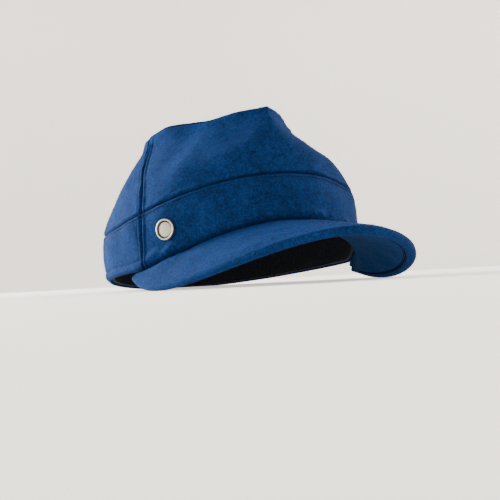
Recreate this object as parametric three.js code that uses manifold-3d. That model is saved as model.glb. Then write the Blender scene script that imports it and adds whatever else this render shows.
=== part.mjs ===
// A kepi cap in thick felted wool, in millimetres, +Z up, its peaked brim towards -Y.
// The crown is three panels on a deep band: a stiff front panel that stands up to a point, and two side
// panels that meet in a seam running back from that point. The brim is a felt top whose edge is rolled under
// and sewn to a felt underside. A dark sweatband lines the hem, and a metal button sits on the front band.
// The cap rests as it would on a table, on the flattened back of its hem and the two low sides of its brim.
import * as THREE from "three";
import { mergeVertices } from "three/addons/utils/BufferGeometryUtils.js";
import Module from "manifold-3d";

const wasm = await Module();
wasm.setup();

// Driving dimensions. A reach is measured in plan from the middle of the crown.
const hem = { halfWidth: 84, frontReach: 99, backReach: 102, archRise: 21.6, archEnd: 73, backDip: 3.6 };
const crown = { bandHeight: 30.5, rise: 66, backFall: 12.5, wall: 2.4 };
const seam = { gap: 0.4, roll: 2.6, dip: 0.7 };
const brim = {
  depth: 68, cornerOut: 1.5, cornerDown: 4.5, sideDroop: 25, frontFall: 17.2, thickness: 5, topLayer: 2.1,
  rolledEdge: 6.5, bow: 0.8, undersideStart: 0.05,
};
const sweatband = { height: 25, lift: 2.8, thickness: 1.5, looseness: 0.6 };
const button = {
  radius: 6.5, rimWidth: 1.1, rimHeight: 2.4, faceHeight: 1.8, dome: 0.3,
  postRadius: 1.5, postLength: 2, angle: -52.2, level: 0.79,
};
const clearance = 0.35;
const restFlat = 14;

// Crown sections from the hem to the middle of the top. width, front and back are shares of the hem's
// reaches, and middle moves the section's centre, as a share of the hem's back reach. level is the height at
// the sides: 0 the hem, 1 the top of the band, 2 the top of the crown. arch and fall are the shares of the
// front's rise and the back's fall there. curve and backCurve are the plan's exponents, 2 for an ellipse and
// less for a pointed plan. seamAngle is where the side seam crosses, in degrees from the front.
const sectionColumns = [
  "name", "width", "front", "back", "middle", "level", "arch", "fall", "curve", "backCurve", "seamAngle",
];
const sections = [
  ["hem", 0.995, 1.0, 0.98, 0, 0, 1, 0, 2, 2, 67],
  ["band bulge", 1.018, 0.988, 0.99, 0, 0.56, 0.93, 0, 2, 2, 65],
  ["band top", 1.002, 0.945, 0.966, 0, 1, 0.93, -0.36, 2.08, 2, 65],
  ["low crown", 0.932, 0.909, 0.868, 0, 1.265, 0.83, -0.08, 1.95, 1.95, 67.5],
  ["shoulder", 0.815, 0.84, 0.73, 0.015, 1.545, 0.59, 0.36, 1.5, 1.8, 72],
  ["under crest", 0.685, 0.77, 0.59, 0.03, 1.79, 0.38, 0.7, 1.27, 1.58, 76.5],
  ["crest", 0.615, 0.727, 0.53, 0.04, 1.965, 0.1, 1.08, 1.29, 1.6, 78],
  ["top", 0.45, 0.505, 0.355, 0, 1.985, -0.05, 0.9, 1.46, 1.9, 78],
  ["middle of top", 0, 0.078, -0.078, -0.078, 1.915, 0, 0, 2, 2, 78],
].map((row) => Object.fromEntries(row.map((value, i) => [sectionColumns[i], value])));

// Puffs and dents of the crown's felt, the same on both sides. angle is in degrees from the front and level
// is a section index; around and upward are how far each spreads, and rise is a share of the crown's rise.
const folds = [
  { name: "shoulder puff", angle: 66, level: 6.1, around: 13, upward: 0.9, rise: 0.03 },
  { name: "crest dip", angle: 42, level: 6.1, around: 10, upward: 0.8, rise: -0.022 },
  { name: "peak nub", angle: 0, level: 6, around: 12, upward: 0.5, rise: 0.014 },
  { name: "corner dent", angle: 28, level: 4.5, around: 14, upward: 0.7, rise: -0.018 },
];

// What draws the brim's edge from its corner to the front. across is a share of the hem's half width, along
// a share of the way from the corner to the front, and droop a share of the sides' droop below the hem.
const brimPulls = [
  { across: 1.005, along: 0.276, droop: 1 },
  { across: 0.929, along: 0.768, droop: 0.508 },
];
const BRIM_FLAT_SHARE = 0.476;
const BAND_TOP = sections.findIndex((s) => s.name === "band top");
const CREST = sections.findIndex((s) => s.name === "crest");
const APEX = sections.length - 1;
const FRONT_COLUMNS = 26;
const BACK_COLUMNS = 46;
const SIDE_COLUMNS = 20;

const felt = new THREE.MeshStandardMaterial({ color: 0x0e4a92, roughness: 0.95, metalness: 0 });
const ribbon = new THREE.MeshStandardMaterial({ color: 0x14151a, roughness: 0.8, metalness: 0 });
const nickel = new THREE.MeshStandardMaterial({ color: 0xcfcabf, roughness: 0.32, metalness: 1 });

const rad = THREE.MathUtils.degToRad;
const lerp = THREE.MathUtils.lerp;
const clamp = THREE.MathUtils.clamp;
const power = (value, exponent) => Math.sign(value) * Math.pow(Math.abs(value), exponent);
const steps = (from, to, count) => Array.from({ length: count + 1 }, (_, i) => lerp(from, to, i / count));

// A number interpolated smoothly through one value for each section, at a fractional section index.
function alongSections(values, u) {
  const i = clamp(Math.floor(u), 0, APEX - 1);
  const t = u - i;
  const [p0, p1, p2, p3] = [i - 1, i, i + 1, i + 2].map((k) => values[clamp(k, 0, APEX)]);
  return 0.5 * (2 * p1 + (p2 - p0) * t + (2 * p0 - 5 * p1 + 4 * p2 - p3) * t * t
    + (3 * p1 - p0 - 3 * p2 + p3) * t * t * t);
}

const sideSeam = (u) => rad(alongSections(sections.map((s) => s.seamAngle), u));
const levelHeight = (level) => Math.min(level, 1) * crown.bandHeight + Math.max(level - 1, 0) * crown.rise;

// How far along the hem's arch an angle lies: 0 at its ends beside the brim, 1 at the front.
const archShare = (angle) => clamp((rad(hem.archEnd) - Math.abs(angle)) / rad(hem.archEnd), 0, 1);

// A point of one crown section; the angle is measured from the front, positive towards +X.
function sectionPoint(s, index, angle) {
  const [across, along] = [Math.sin(angle), Math.cos(angle)];
  const exponent = 2 / (along > 0 ? s.curve : s.backCurve);
  const middle = s.middle * hem.backReach;
  const reach = along > 0 ? s.front * hem.frontReach + middle : s.back * hem.backReach - middle;
  const backShape = Math.min(along, 0) ** 2;
  const archShape = index > 0 ? Math.max(along, 0) ** 1.6 : Math.sin(archShare(angle) * Math.PI / 2) ** 1.35;
  const dip = index > 0 ? 0 : hem.backDip * backShape;
  return new THREE.Vector3(
    s.width * hem.halfWidth * power(across, exponent),
    middle - reach * power(along, exponent),
    levelHeight(s.level) + s.arch * hem.archRise * archShape - s.fall * crown.backFall * backShape - dip,
  );
}

// How far the folds move the crown's face out, or in where it is negative.
function foldRise(angle, u) {
  const degrees = Math.abs(THREE.MathUtils.radToDeg(angle));
  return folds.reduce((sum, fold) => {
    const away = ((degrees - fold.angle) / fold.around) ** 2 + ((u - fold.level) / fold.upward) ** 2;
    return sum + fold.rise * crown.rise * Math.exp(-away);
  }, 0);
}

// The crown's outer face at an angle from the front and a fractional section index u.
function crownFace(angle, u) {
  const around = THREE.MathUtils.euclideanModulo(angle + Math.PI, 2 * Math.PI) - Math.PI;
  const points = sections.map((s, i) => sectionPoint(s, i, around));
  const coordinate = (axis) => alongSections(points.map((p) => p[axis]), u);
  const face = new THREE.Vector3(coordinate("x"), coordinate("y"), coordinate("z"));
  const outward = face.clone().setZ(face.z - crown.bandHeight).normalize();
  return face.addScaledVector(outward, foldRise(around, u));
}

// The outward normal of the crown's face, from its slopes over a patch wide enough to round off its edges.
function crownNormal(angle, u) {
  const [turn, climb] = [rad(7), 0.45];
  const level = Math.min(u, APEX - climb);
  const across = crownFace(angle + turn, level).sub(crownFace(angle - turn, level));
  const up = crownFace(angle, level + climb).sub(crownFace(angle, Math.max(level - climb, 0)));
  return across.cross(up).normalize();
}

// The crown's face moved inwards by a depth, straight down at the middle of the top.
function crownWall(angle, u, depth) {
  const normal = u > APEX - 0.5 ? new THREE.Vector3(0, 0, 1) : crownNormal(angle, u);
  return crownFace(angle, u).addScaledVector(normal, -depth);
}

// How much angle, or section index, one millimetre of the crown's face takes.
const anglePerMm = (angle, u) => rad(1) / crownFace(angle, u).distanceTo(crownFace(angle + rad(1), u));
const indexPerMm = (angle, u) => 0.02 / crownFace(angle, u).distanceTo(crownFace(angle, u + 0.02));

// Values from one edge to another, each edge with the narrow strip where the felt rolls into its seam.
function seamed(from, to, fromPerMm, toPerMm, count) {
  const [gap, roll] = [seam.gap / 2, seam.gap / 2 + seam.roll];
  const middle = steps(from + roll * fromPerMm, to - roll * toPerMm, count);
  return [from + gap * fromPerMm, ...middle, to - gap * toPerMm];
}

// A closed solid from an outer face and an inner one, given as patches of rows of point pairs. Patches that
// share an edge are welded, and every free edge is closed by a strip between the two faces.
function shell(patches) {
  const [index, pairs, faces] = [new Map(), [], []];
  const vertex = (pair) => {
    const key = pair.outer.toArray().map((value) => value.toFixed(3)).join(" ");
    if (!index.has(key)) index.set(key, pairs.push(pair) - 1);
    return index.get(key);
  };
  for (const rows of patches) {
    const ids = rows.map((row) => row.map(vertex));
    for (let r = 0; r + 1 < ids.length; r++) {
      for (let c = 0; c + 1 < ids[r].length; c++) {
        const quad = [ids[r][c], ids[r][c + 1], ids[r + 1][c + 1], ids[r + 1][c]];
        faces.push([quad[0], quad[1], quad[2]], [quad[0], quad[2], quad[3]]);
      }
    }
  }
  const sound = faces.filter((f) => new Set(f).size === 3);
  const edges = new Set(sound.flatMap(([a, b, c]) => [`${a} ${b}`, `${b} ${c}`, `${c} ${a}`]));
  const free = [...edges].map((e) => e.split(" ").map(Number)).filter(([a, b]) => !edges.has(`${b} ${a}`));
  const inner = (i) => i + pairs.length;
  const triangles = [
    ...sound,
    ...sound.map(([a, b, c]) => [inner(a), inner(c), inner(b)]),
    ...free.flatMap(([a, b]) => [[b, a, inner(a)], [b, inner(a), inner(b)]]),
  ];
  return geometryOf([...pairs.map((p) => p.outer), ...pairs.map((p) => p.inner)], triangles);
}

function geometryOf(points, triangles) {
  const geometry = new THREE.BufferGeometry();
  geometry.setAttribute("position", new THREE.Float32BufferAttribute(points.flatMap((p) => p.toArray()), 3));
  geometry.setIndex(triangles.flat());
  return geometry;
}

// The point pair of a felt panel. Where it is sewn, its outer face dips into the seam.
function feltPair(angle, u, atSeam, wallDepth = crown.wall) {
  return { outer: crownWall(angle, u, atSeam ? seam.dip : 0), inner: crownWall(angle, u, wallDepth) };
}

// The section index of each row of a panel at one angle, between two seams.
function seamLevels(from, to, count, angle) {
  return seamed(from, to, indexPerMm(angle, from + 0.1), indexPerMm(angle, to - 0.1), count);
}

// The angles across the front at one level, from its right seam to its left one.
function frontAngles(u) {
  const perMm = anglePerMm(sideSeam(u), u);
  return seamed(-sideSeam(u), sideSeam(u), perMm, perMm, FRONT_COLUMNS);
}

// The angles round the back at one level, from the left side seam to the right one.
function backAngles(u) {
  const perMm = anglePerMm(sideSeam(u), u);
  return seamed(sideSeam(u), 2 * Math.PI - sideSeam(u), perMm, perMm, BACK_COLUMNS);
}

// Rows of point pairs for a panel sewn along all four edges, from a function that gives each column's levels.
function sewnRows(levelsAt, anglesAt, middleLevel) {
  const columns = anglesAt(middleLevel).map(levelsAt);
  const last = { row: columns[0].length - 1, column: columns.length - 1 };
  return columns[0].map((_, row) => columns.map((levels, column) => {
    const atSeam = row === 0 || row === last.row || column === 0 || column === last.column;
    return feltPair(anglesAt(levels[row])[column], levels[row], atSeam);
  }));
}

// The rows of a band, whose lower edge is the cap's hem.
function bandRows(anglesAt) {
  return sewnRows((angle) => [0, ...seamLevels(0, BAND_TOP, 4, angle).slice(1)], anglesAt, BAND_TOP / 2);
}

// Presses every point below the floor up to it, as felt flattens under the cap's own weight.
function seatOnFloor(rows, floorHeight) {
  for (const pair of rows.flat()) {
    for (const point of [pair.outer, pair.inner]) point.z = Math.max(point.z, floorHeight(point.y));
  }
  return rows;
}

// One side panel: the wall behind the side seam and its half of the top, back to the seam in the middle.
function sidePanelSolid(side) {
  const crestLevel = (angle) => CREST + seam.gap / 2 * indexPerMm(angle, CREST);
  const wallAngles = (u) => {
    const start = sideSeam(u) + seam.gap / 2 * anglePerMm(sideSeam(u), u);
    return [start, ...steps(start + rad(2), rad(180), SIDE_COLUMNS)];
  };
  const behindMiddle = (point) => point.setX(Math.max(point.x, seam.gap / 2));
  const pair = (angle, u, atSeam) => {
    const made = feltPair(angle, u, atSeam);
    return { outer: behindMiddle(made.outer), inner: behindMiddle(made.inner) };
  };
  const wallColumns = wallAngles(CREST).map((angle) => [
    ...seamLevels(BAND_TOP, CREST, 8, angle).slice(0, -1), crestLevel(angle)]);
  const wall = wallColumns[0].map((_, row) => wallColumns.map((levels, column) => {
    const angle = wallAngles(Math.min(levels[row], CREST))[column];
    return pair(angle, levels[row], row === 0 || column === 0);
  }));
  const crestAngles = frontAngles(CREST).slice(FRONT_COLUMNS / 2 + 1);
  const topAngles = [...crestAngles, ...wallAngles(CREST)];
  const top = [0, ...steps(0.25, APEX - CREST, 6)].map((climb, row) => topAngles.map((angle, column) => (
    pair(angle, row === 0 ? crestLevel(angle) : CREST + climb, row === 0 && column <= crestAngles.length))));
  const mirrored = (rows) => rows.map((row) => row.map(({ outer, inner }) => ({
    outer: outer.clone().setX(-outer.x), inner: inner.clone().setX(-inner.x),
  })).reverse());
  return shell(side > 0 ? [wall, top] : [mirrored(wall), mirrored(top)]);
}

// The brim's outer edge from the right corner to the left, as a share from 0 to 1.
function brimEdge(share) {
  const hemCorner = crownFace(rad(hem.archEnd), 0);
  const corner = new THREE.Vector3(hemCorner.x + brim.cornerOut, hemCorner.y, hemCorner.z - brim.cornerDown);
  const frontY = -hem.frontReach - brim.depth;
  const frontZ = hem.archRise - brim.frontFall;
  const half = [
    corner,
    ...brimPulls.map(({ across, along, droop }) => new THREE.Vector3(
      across * hem.halfWidth, lerp(corner.y, frontY, along), -droop * brim.sideDroop)),
    new THREE.Vector3(BRIM_FLAT_SHARE * hem.halfWidth, frontY, frontZ),
    new THREE.Vector3(0, frontY, frontZ),
  ];
  const t = 1 - Math.abs(2 * share - 1);
  const weights = [1, 4, 6, 4, 1].map((w, k) => w * (1 - t) ** (4 - k) * t ** k);
  const point = half.reduce((sum, p, k) => sum.addScaledVector(p, weights[k]), new THREE.Vector3());
  point.x *= share < 0.5 ? -1 : 1;
  return point;
}

// The brim's seat under the hem, in the middle of its thickness.
function brimSeat(share) {
  const angle = rad(lerp(-hem.archEnd, hem.archEnd, share));
  const inner = crownWall(angle, 0, crown.wall);
  const height = Math.min(inner.z, crownFace(angle, 0).z) - clearance - brim.thickness / 2;
  return inner.setZ(height);
}

// The brim's middle surface: along it from the right corner to the left, and out from its seat to the edge.
function brimFace(share, out) {
  const point = brimSeat(share).lerp(brimEdge(share), out);
  point.z += brim.bow * Math.sin(Math.PI * out) * Math.sin(Math.PI * share);
  return point;
}

function brimNormal(share, out) {
  const [s, o] = [clamp(share, 0.02, 0.98), clamp(out, 0.05, 0.95)];
  const along = brimFace(s + 0.02, o).sub(brimFace(s - 0.02, o));
  const outward = brimFace(s, o + 0.05).sub(brimFace(s, o - 0.05));
  return outward.cross(along).normalize();
}

// A point of the brim at a height off its middle surface, upright over its seat.
function brimPoint(share, out, height) {
  const upright = new THREE.Vector3(0, 0, 1);
  const normal = brimNormal(share, out).lerp(upright, (1 - out) ** 4).normalize();
  return brimFace(share, out).addScaledVector(normal, height);
}

// A closed solid swept along the brim, from an outline of [millimetres in from the edge, height] pairs.
function brimSolid(outlineAt, stations) {
  const rings = stations.map((share) => {
    const width = brimFace(share, 0).distanceTo(brimFace(share, 1));
    return outlineAt(width).map(([inset, height]) => brimPoint(share, 1 - inset / width, height));
  });
  const size = rings[0].length;
  const triangles = [];
  for (let r = 0; r + 1 < rings.length; r++) {
    for (let k = 0; k < size; k++) {
      const [a, b] = [r * size + k, r * size + (k + 1) % size];
      triangles.push([a, b, b + size], [a, b + size, a + size]);
    }
  }
  const outline = outlineAt(40).map(([inset, height]) => new THREE.Vector2(inset, height));
  const cap = THREE.ShapeUtils.triangulateShape(outline, []);
  const facing = THREE.ShapeUtils.isClockWise(outline) ? 1 : -1;
  const turned = (t, way) => (way * facing > 0 ? [t[0], t[1], t[2]] : [t[0], t[2], t[1]]);
  const last = (rings.length - 1) * size;
  triangles.push(...cap.map((t) => turned(t, 1)), ...cap.map((t) => turned(t.map((i) => i + last), -1)));
  return geometryOf(rings.flat(), triangles);
}

// The brim's top layer with its rolled edge, which the underside is sewn into.
function brimTopOutline(width) {
  const half = brim.thickness / 2;
  const roll = Math.min(brim.rolledEdge, width * 0.6);
  const under = half - brim.topLayer;
  const across = (from, to, count) => steps(from, to, count);
  return [
    ...across(width, half, 7).map((inset) => [inset, half]),
    ...steps(75, -75, 4).map((a) => [half - half * Math.cos(rad(a)), half * Math.sin(rad(a))]),
    [half, -half],
    [roll, -half + seam.dip],
    ...across(roll, width, 6).map((inset) => [inset, under]),
  ];
}

function brimUndersideOutline(width) {
  const half = brim.thickness / 2;
  const roll = Math.min(brim.rolledEdge, width * 0.6) + seam.gap;
  const upper = half - brim.topLayer - clearance;
  return [
    ...steps(width, roll, 6).map((inset) => [inset, upper]),
    [roll, -half + seam.dip],
    ...steps(roll + Math.min(seam.roll, (width - roll) / 3), width, 5).map((inset) => [inset, -half]),
  ];
}

// Solids for the one boolean cut, of the button's post hole in the front band.
function solidOf(geometry) {
  const bare = geometry.clone();
  for (const name of ["normal", "uv"]) bare.deleteAttribute(name);
  const merged = mergeVertices(bare, 1e-4);
  return new wasm.Manifold(new wasm.Mesh({
    numProp: 3,
    vertProperties: merged.attributes.position.array,
    triVerts: new Uint32Array(merged.index.array),
  }));
}

function geometryOfSolid(solid) {
  const mesh = solid.getMesh();
  const geometry = new THREE.BufferGeometry();
  geometry.setAttribute("position", new THREE.BufferAttribute(new Float32Array(mesh.vertProperties), 3));
  geometry.setIndex([...mesh.triVerts]);
  return geometry;
}

// The button turned about its own +Y axis: a plain domed face inside a raised rim, on a short post.
function buttonGeometry() {
  const { radius, rimWidth, rimHeight, faceHeight, dome, postRadius, postLength } = button;
  const faceRadius = radius - rimWidth;
  const profile = [
    [0, -postLength], [postRadius, -postLength], [postRadius, 0], [radius * 0.93, 0],
    [radius, rimHeight * 0.35], [radius, rimHeight * 0.7], [radius - rimWidth * 0.3, rimHeight],
    [faceRadius + rimWidth * 0.2, rimHeight], [faceRadius, faceHeight],
    [faceRadius * 0.6, faceHeight + dome * 0.65], [0, faceHeight + dome],
  ];
  return new THREE.LatheGeometry(profile.map(([x, y]) => new THREE.Vector2(x, y)), 28);
}

const buttonAngle = rad(button.angle);
const buttonNormal = crownNormal(buttonAngle, button.level);
const buttonSeat = crownWall(buttonAngle, button.level, -clearance);

function named(name, geometry, material) {
  geometry.computeVertexNormals();
  const mesh = new THREE.Mesh(geometry, material);
  mesh.name = name;
  return mesh;
}

function buttonMesh() {
  const mesh = named("button", buttonGeometry(), nickel);
  mesh.position.copy(buttonSeat);
  mesh.quaternion.setFromUnitVectors(new THREE.Vector3(0, 1, 0), buttonNormal);
  return mesh;
}

function withPostHole(geometry) {
  const holeRadius = button.postRadius + clearance;
  const drill = new THREE.CylinderGeometry(holeRadius, holeRadius, 6 * crown.wall, 16);
  drill.applyQuaternion(new THREE.Quaternion().setFromUnitVectors(new THREE.Vector3(0, 1, 0), buttonNormal));
  drill.translate(buttonSeat.x, buttonSeat.y, buttonSeat.z);
  return geometryOfSolid(solidOf(geometry).subtract(solidOf(drill)));
}

// The sweatband: a ribbon that runs round inside the whole hem.
function sweatbandSolid() {
  const outerDepth = crown.wall + sweatband.looseness;
  const innerDepth = outerDepth + sweatband.thickness;
  const rows = steps(0, 1, 3).map((share) => steps(-180, 180, 72).map((degrees) => {
    const angle = rad(degrees);
    const u = (sweatband.lift + share * sweatband.height) * indexPerMm(angle, 0.5);
    return { outer: crownWall(angle, u, outerDepth), inner: crownWall(angle, u, innerDepth) };
  }));
  return shell([rows]);
}

// The stations along the brim, closer together round its two corners.
const brimStations = steps(0, 1, 36).map((t) => t - 0.45 * Math.sin(2 * Math.PI * t) / (2 * Math.PI));
const undersideStations = brimStations.filter((t) => Math.min(t, 1 - t) > brim.undersideStart);
const brimTop = brimSolid(brimTopOutline, brimStations);

// The floor in the cap's own frame: it touches the brim's low sides and, restFlat in from the back, the hem.
const backEdge = crownFace(Math.PI, 0);
const contact = { y: backEdge.y - restFlat, z: backEdge.z };
const brimPoints = brimTop.getAttribute("position");
const slope = Math.max(...Array.from({ length: brimPoints.count },
  (_, i) => (contact.z - brimPoints.getZ(i)) / (contact.y - brimPoints.getY(i))));
const floorHeight = (y) => contact.z + slope * (y - contact.y);

const backBandRows = seatOnFloor(bandRows(backAngles), floorHeight);
const frontPanelRows = sewnRows((angle) => seamLevels(BAND_TOP, CREST, 9, angle), frontAngles, CREST);

const cap = new THREE.Group();
cap.add(
  named("front_band", withPostHole(shell([bandRows(frontAngles)])), felt),
  named("back_band", shell([backBandRows]), felt),
  named("front_panel", shell([frontPanelRows]), felt),
  named("side_panel_right", sidePanelSolid(-1), felt),
  named("side_panel_left", sidePanelSolid(1), felt),
  named("brim_top", brimTop, felt),
  named("brim_underside", brimSolid(brimUndersideOutline, undersideStations), felt),
  named("sweatband", sweatbandSolid(), ribbon),
  buttonMesh(),
);

// The cap is tipped back until it stands on the floor, and centred over the origin.
cap.rotation.x = -Math.atan(slope);
const bounds = new THREE.Box3().setFromObject(cap, true);
cap.position.set(0, -(bounds.min.y + bounds.max.y) / 2, -bounds.min.z);

export default cap;
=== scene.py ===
"""Looks for a kepi cap in milled wool felt: sewn panels, topstitching, ribbed sweatband and metal button.

The cap's form is worked out in millimetres in its own frame, hem down and brim towards -Y, from the same
named sizes as the CAD solids. The Placing class then sets it on the floor, in metres.
"""

import logging
import math
from collections.abc import Sequence
from dataclasses import dataclass, field
from enum import Enum

import bpy
import numpy as np
from mathutils import Matrix, Vector
from mathutils.kdtree import KDTree


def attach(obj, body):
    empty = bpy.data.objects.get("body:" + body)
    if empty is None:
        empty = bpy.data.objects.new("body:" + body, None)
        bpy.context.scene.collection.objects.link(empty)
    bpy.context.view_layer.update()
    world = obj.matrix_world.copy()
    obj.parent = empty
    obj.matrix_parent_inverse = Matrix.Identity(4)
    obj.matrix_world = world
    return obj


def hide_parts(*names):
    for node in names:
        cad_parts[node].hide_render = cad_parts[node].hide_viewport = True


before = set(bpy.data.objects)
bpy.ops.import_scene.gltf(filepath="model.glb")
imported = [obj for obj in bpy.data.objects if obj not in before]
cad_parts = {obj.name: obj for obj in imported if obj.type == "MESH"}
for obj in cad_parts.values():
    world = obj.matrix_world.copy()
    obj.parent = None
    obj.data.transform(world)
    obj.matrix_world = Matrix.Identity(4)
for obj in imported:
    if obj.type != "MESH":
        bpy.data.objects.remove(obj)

Array = np.ndarray
Value = float | int | bool | str | tuple | bpy.types.ID | bpy.types.NodeSocket

MM = 0.001
BODY = "root"
log = logging.getLogger("kepi")


class Side(Enum):
    """A side of the cap, as its wearer has it."""

    RIGHT = -1
    LEFT = 1


class Slot(Enum):
    """The record's material slots."""

    FELT = "felt"
    RIBBON = "ribbon"
    NICKEL = "nickel"


def linear(hex_colour: str) -> tuple[float, float, float, float]:
    """Turns an sRGB hex colour into linear RGBA.

    Args:
        hex_colour: The colour as "#RRGGBB".

    Returns:
        Red, green, blue and an alpha of 1.
    """
    parts = [int(hex_colour[i : i + 2], 16) / 255 for i in (1, 3, 5)]
    red, green, blue = (p / 12.92 if p <= 0.04045 else ((p + 0.055) / 1.055) ** 2.4 for p in parts)
    return red, green, blue, 1.0


def add_node(
    tree: bpy.types.NodeTree, kind: str, inputs: dict[str | int, Value] | None = None, **settings: Value
) -> bpy.types.Node:
    """Adds a node to a tree, with its settings, its input values and its links.

    Args:
        tree: The shader or geometry tree.
        kind: The node's type name.
        inputs: By socket name or number, a value, or the output socket that feeds it.
        **settings: The node's own properties.

    Returns:
        The new node.
    """
    node = tree.nodes.new(kind)
    for name, value in settings.items():
        setattr(node, name, value)
    for key, value in (inputs or {}).items():
        if isinstance(value, bpy.types.NodeSocket):
            tree.links.new(value, node.inputs[key])
        else:
            node.inputs[key].default_value = value
    return node


def signed_power(value: Array, exponent: Array | float) -> Array:
    """Raises a number's size to a power and keeps its sign."""
    return np.sign(value) * np.abs(value) ** exponent


def graded(length: float, fine: float, coarse: float, edge: float = 7.0, ends: str = "both") -> Array:
    """Shares from 0 to 1 along a length, set closer together beside its sewn ends.

    Args:
        length: The length in millimetres.
        fine: The step at a sewn end.
        coarse: The step away from the ends.
        edge: How far from an end the fine steps reach.
        ends: "both", "first" or "last".

    Returns:
        The shares, first 0 and last 1.
    """
    at = np.linspace(0, length, 4000)
    near = {"both": np.minimum(at, length - at), "first": at, "last": length - at}[ends]
    blend = np.clip(near / edge - 0.7, 0, 1)
    density = 1 / (fine + (coarse - fine) * blend * blend * (3 - 2 * blend))
    total = np.concatenate([[0], np.cumsum((density[1:] + density[:-1]) / 2 * np.diff(at))])
    count = math.ceil(total[-1])
    return np.interp(np.linspace(0, total[-1], count + 1), total, at) / length


@dataclass(frozen=True)
class Placing:
    """Where the cap's own frame lies in the model's: tipped back onto the floor, in millimetres."""

    tilt: float = -4.183951670512152
    shift: tuple[float, float, float] = (0.0, 32.047983597, 9.861948839)

    def turned(self, vectors: Array) -> Array:
        """Turns directions from the cap's frame into the model's."""
        c, s = math.cos(math.radians(self.tilt)), math.sin(math.radians(self.tilt))
        x, y, z = vectors[..., 0], vectors[..., 1], vectors[..., 2]
        return np.stack([x, c * y - s * z, s * y + c * z], axis=-1)

    def placed(self, points: Array) -> Array:
        """Turns points in the cap's millimetres into the model's metres."""
        return (self.turned(points) + np.array(self.shift)) * MM


@dataclass(frozen=True)
class Section:
    """One level of the crown, as shares of the hem's reaches and rises."""

    name: str
    width: float
    front: float
    back: float
    middle: float
    level: float
    arch: float
    fall: float
    curve: float
    back_curve: float
    seam_angle: float


@dataclass(frozen=True)
class Fold:
    """A puff or dent of the crown's face, on both sides."""

    name: str
    angle: float
    level: float
    around: float
    upward: float
    rise: float


SECTIONS = (
    Section("hem", 0.995, 1.0, 0.98, 0, 0, 1, 0, 2, 2, 67),
    Section("band bulge", 1.018, 0.988, 0.99, 0, 0.56, 0.93, 0, 2, 2, 65),
    Section("band top", 1.002, 0.945, 0.966, 0, 1, 0.93, -0.36, 2.08, 2, 65),
    Section("low crown", 0.932, 0.909, 0.868, 0, 1.265, 0.83, -0.08, 1.95, 1.95, 67.5),
    Section("shoulder", 0.815, 0.84, 0.73, 0.015, 1.545, 0.59, 0.36, 1.5, 1.8, 72),
    Section("under crest", 0.685, 0.77, 0.59, 0.03, 1.79, 0.38, 0.7, 1.27, 1.58, 76.5),
    Section("crest", 0.615, 0.727, 0.53, 0.04, 1.965, 0.1, 1.08, 1.29, 1.6, 78),
    Section("top", 0.45, 0.505, 0.355, 0, 1.985, -0.05, 0.9, 1.46, 1.9, 78),
    Section("middle of top", 0, 0.078, -0.078, -0.078, 1.915, 0, 0, 2, 2, 78),
)
FOLDS = (
    Fold("shoulder puff", 66, 6.1, 13, 0.9, 0.03),
    Fold("crest dip", 42, 6.1, 10, 0.8, -0.022),
    Fold("peak nub", 0, 6, 12, 0.5, 0.014),
    Fold("corner dent", 28, 4.5, 14, 0.7, -0.018),
)
BAND_TOP = 2
CREST = 6
APEX = 8


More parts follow.
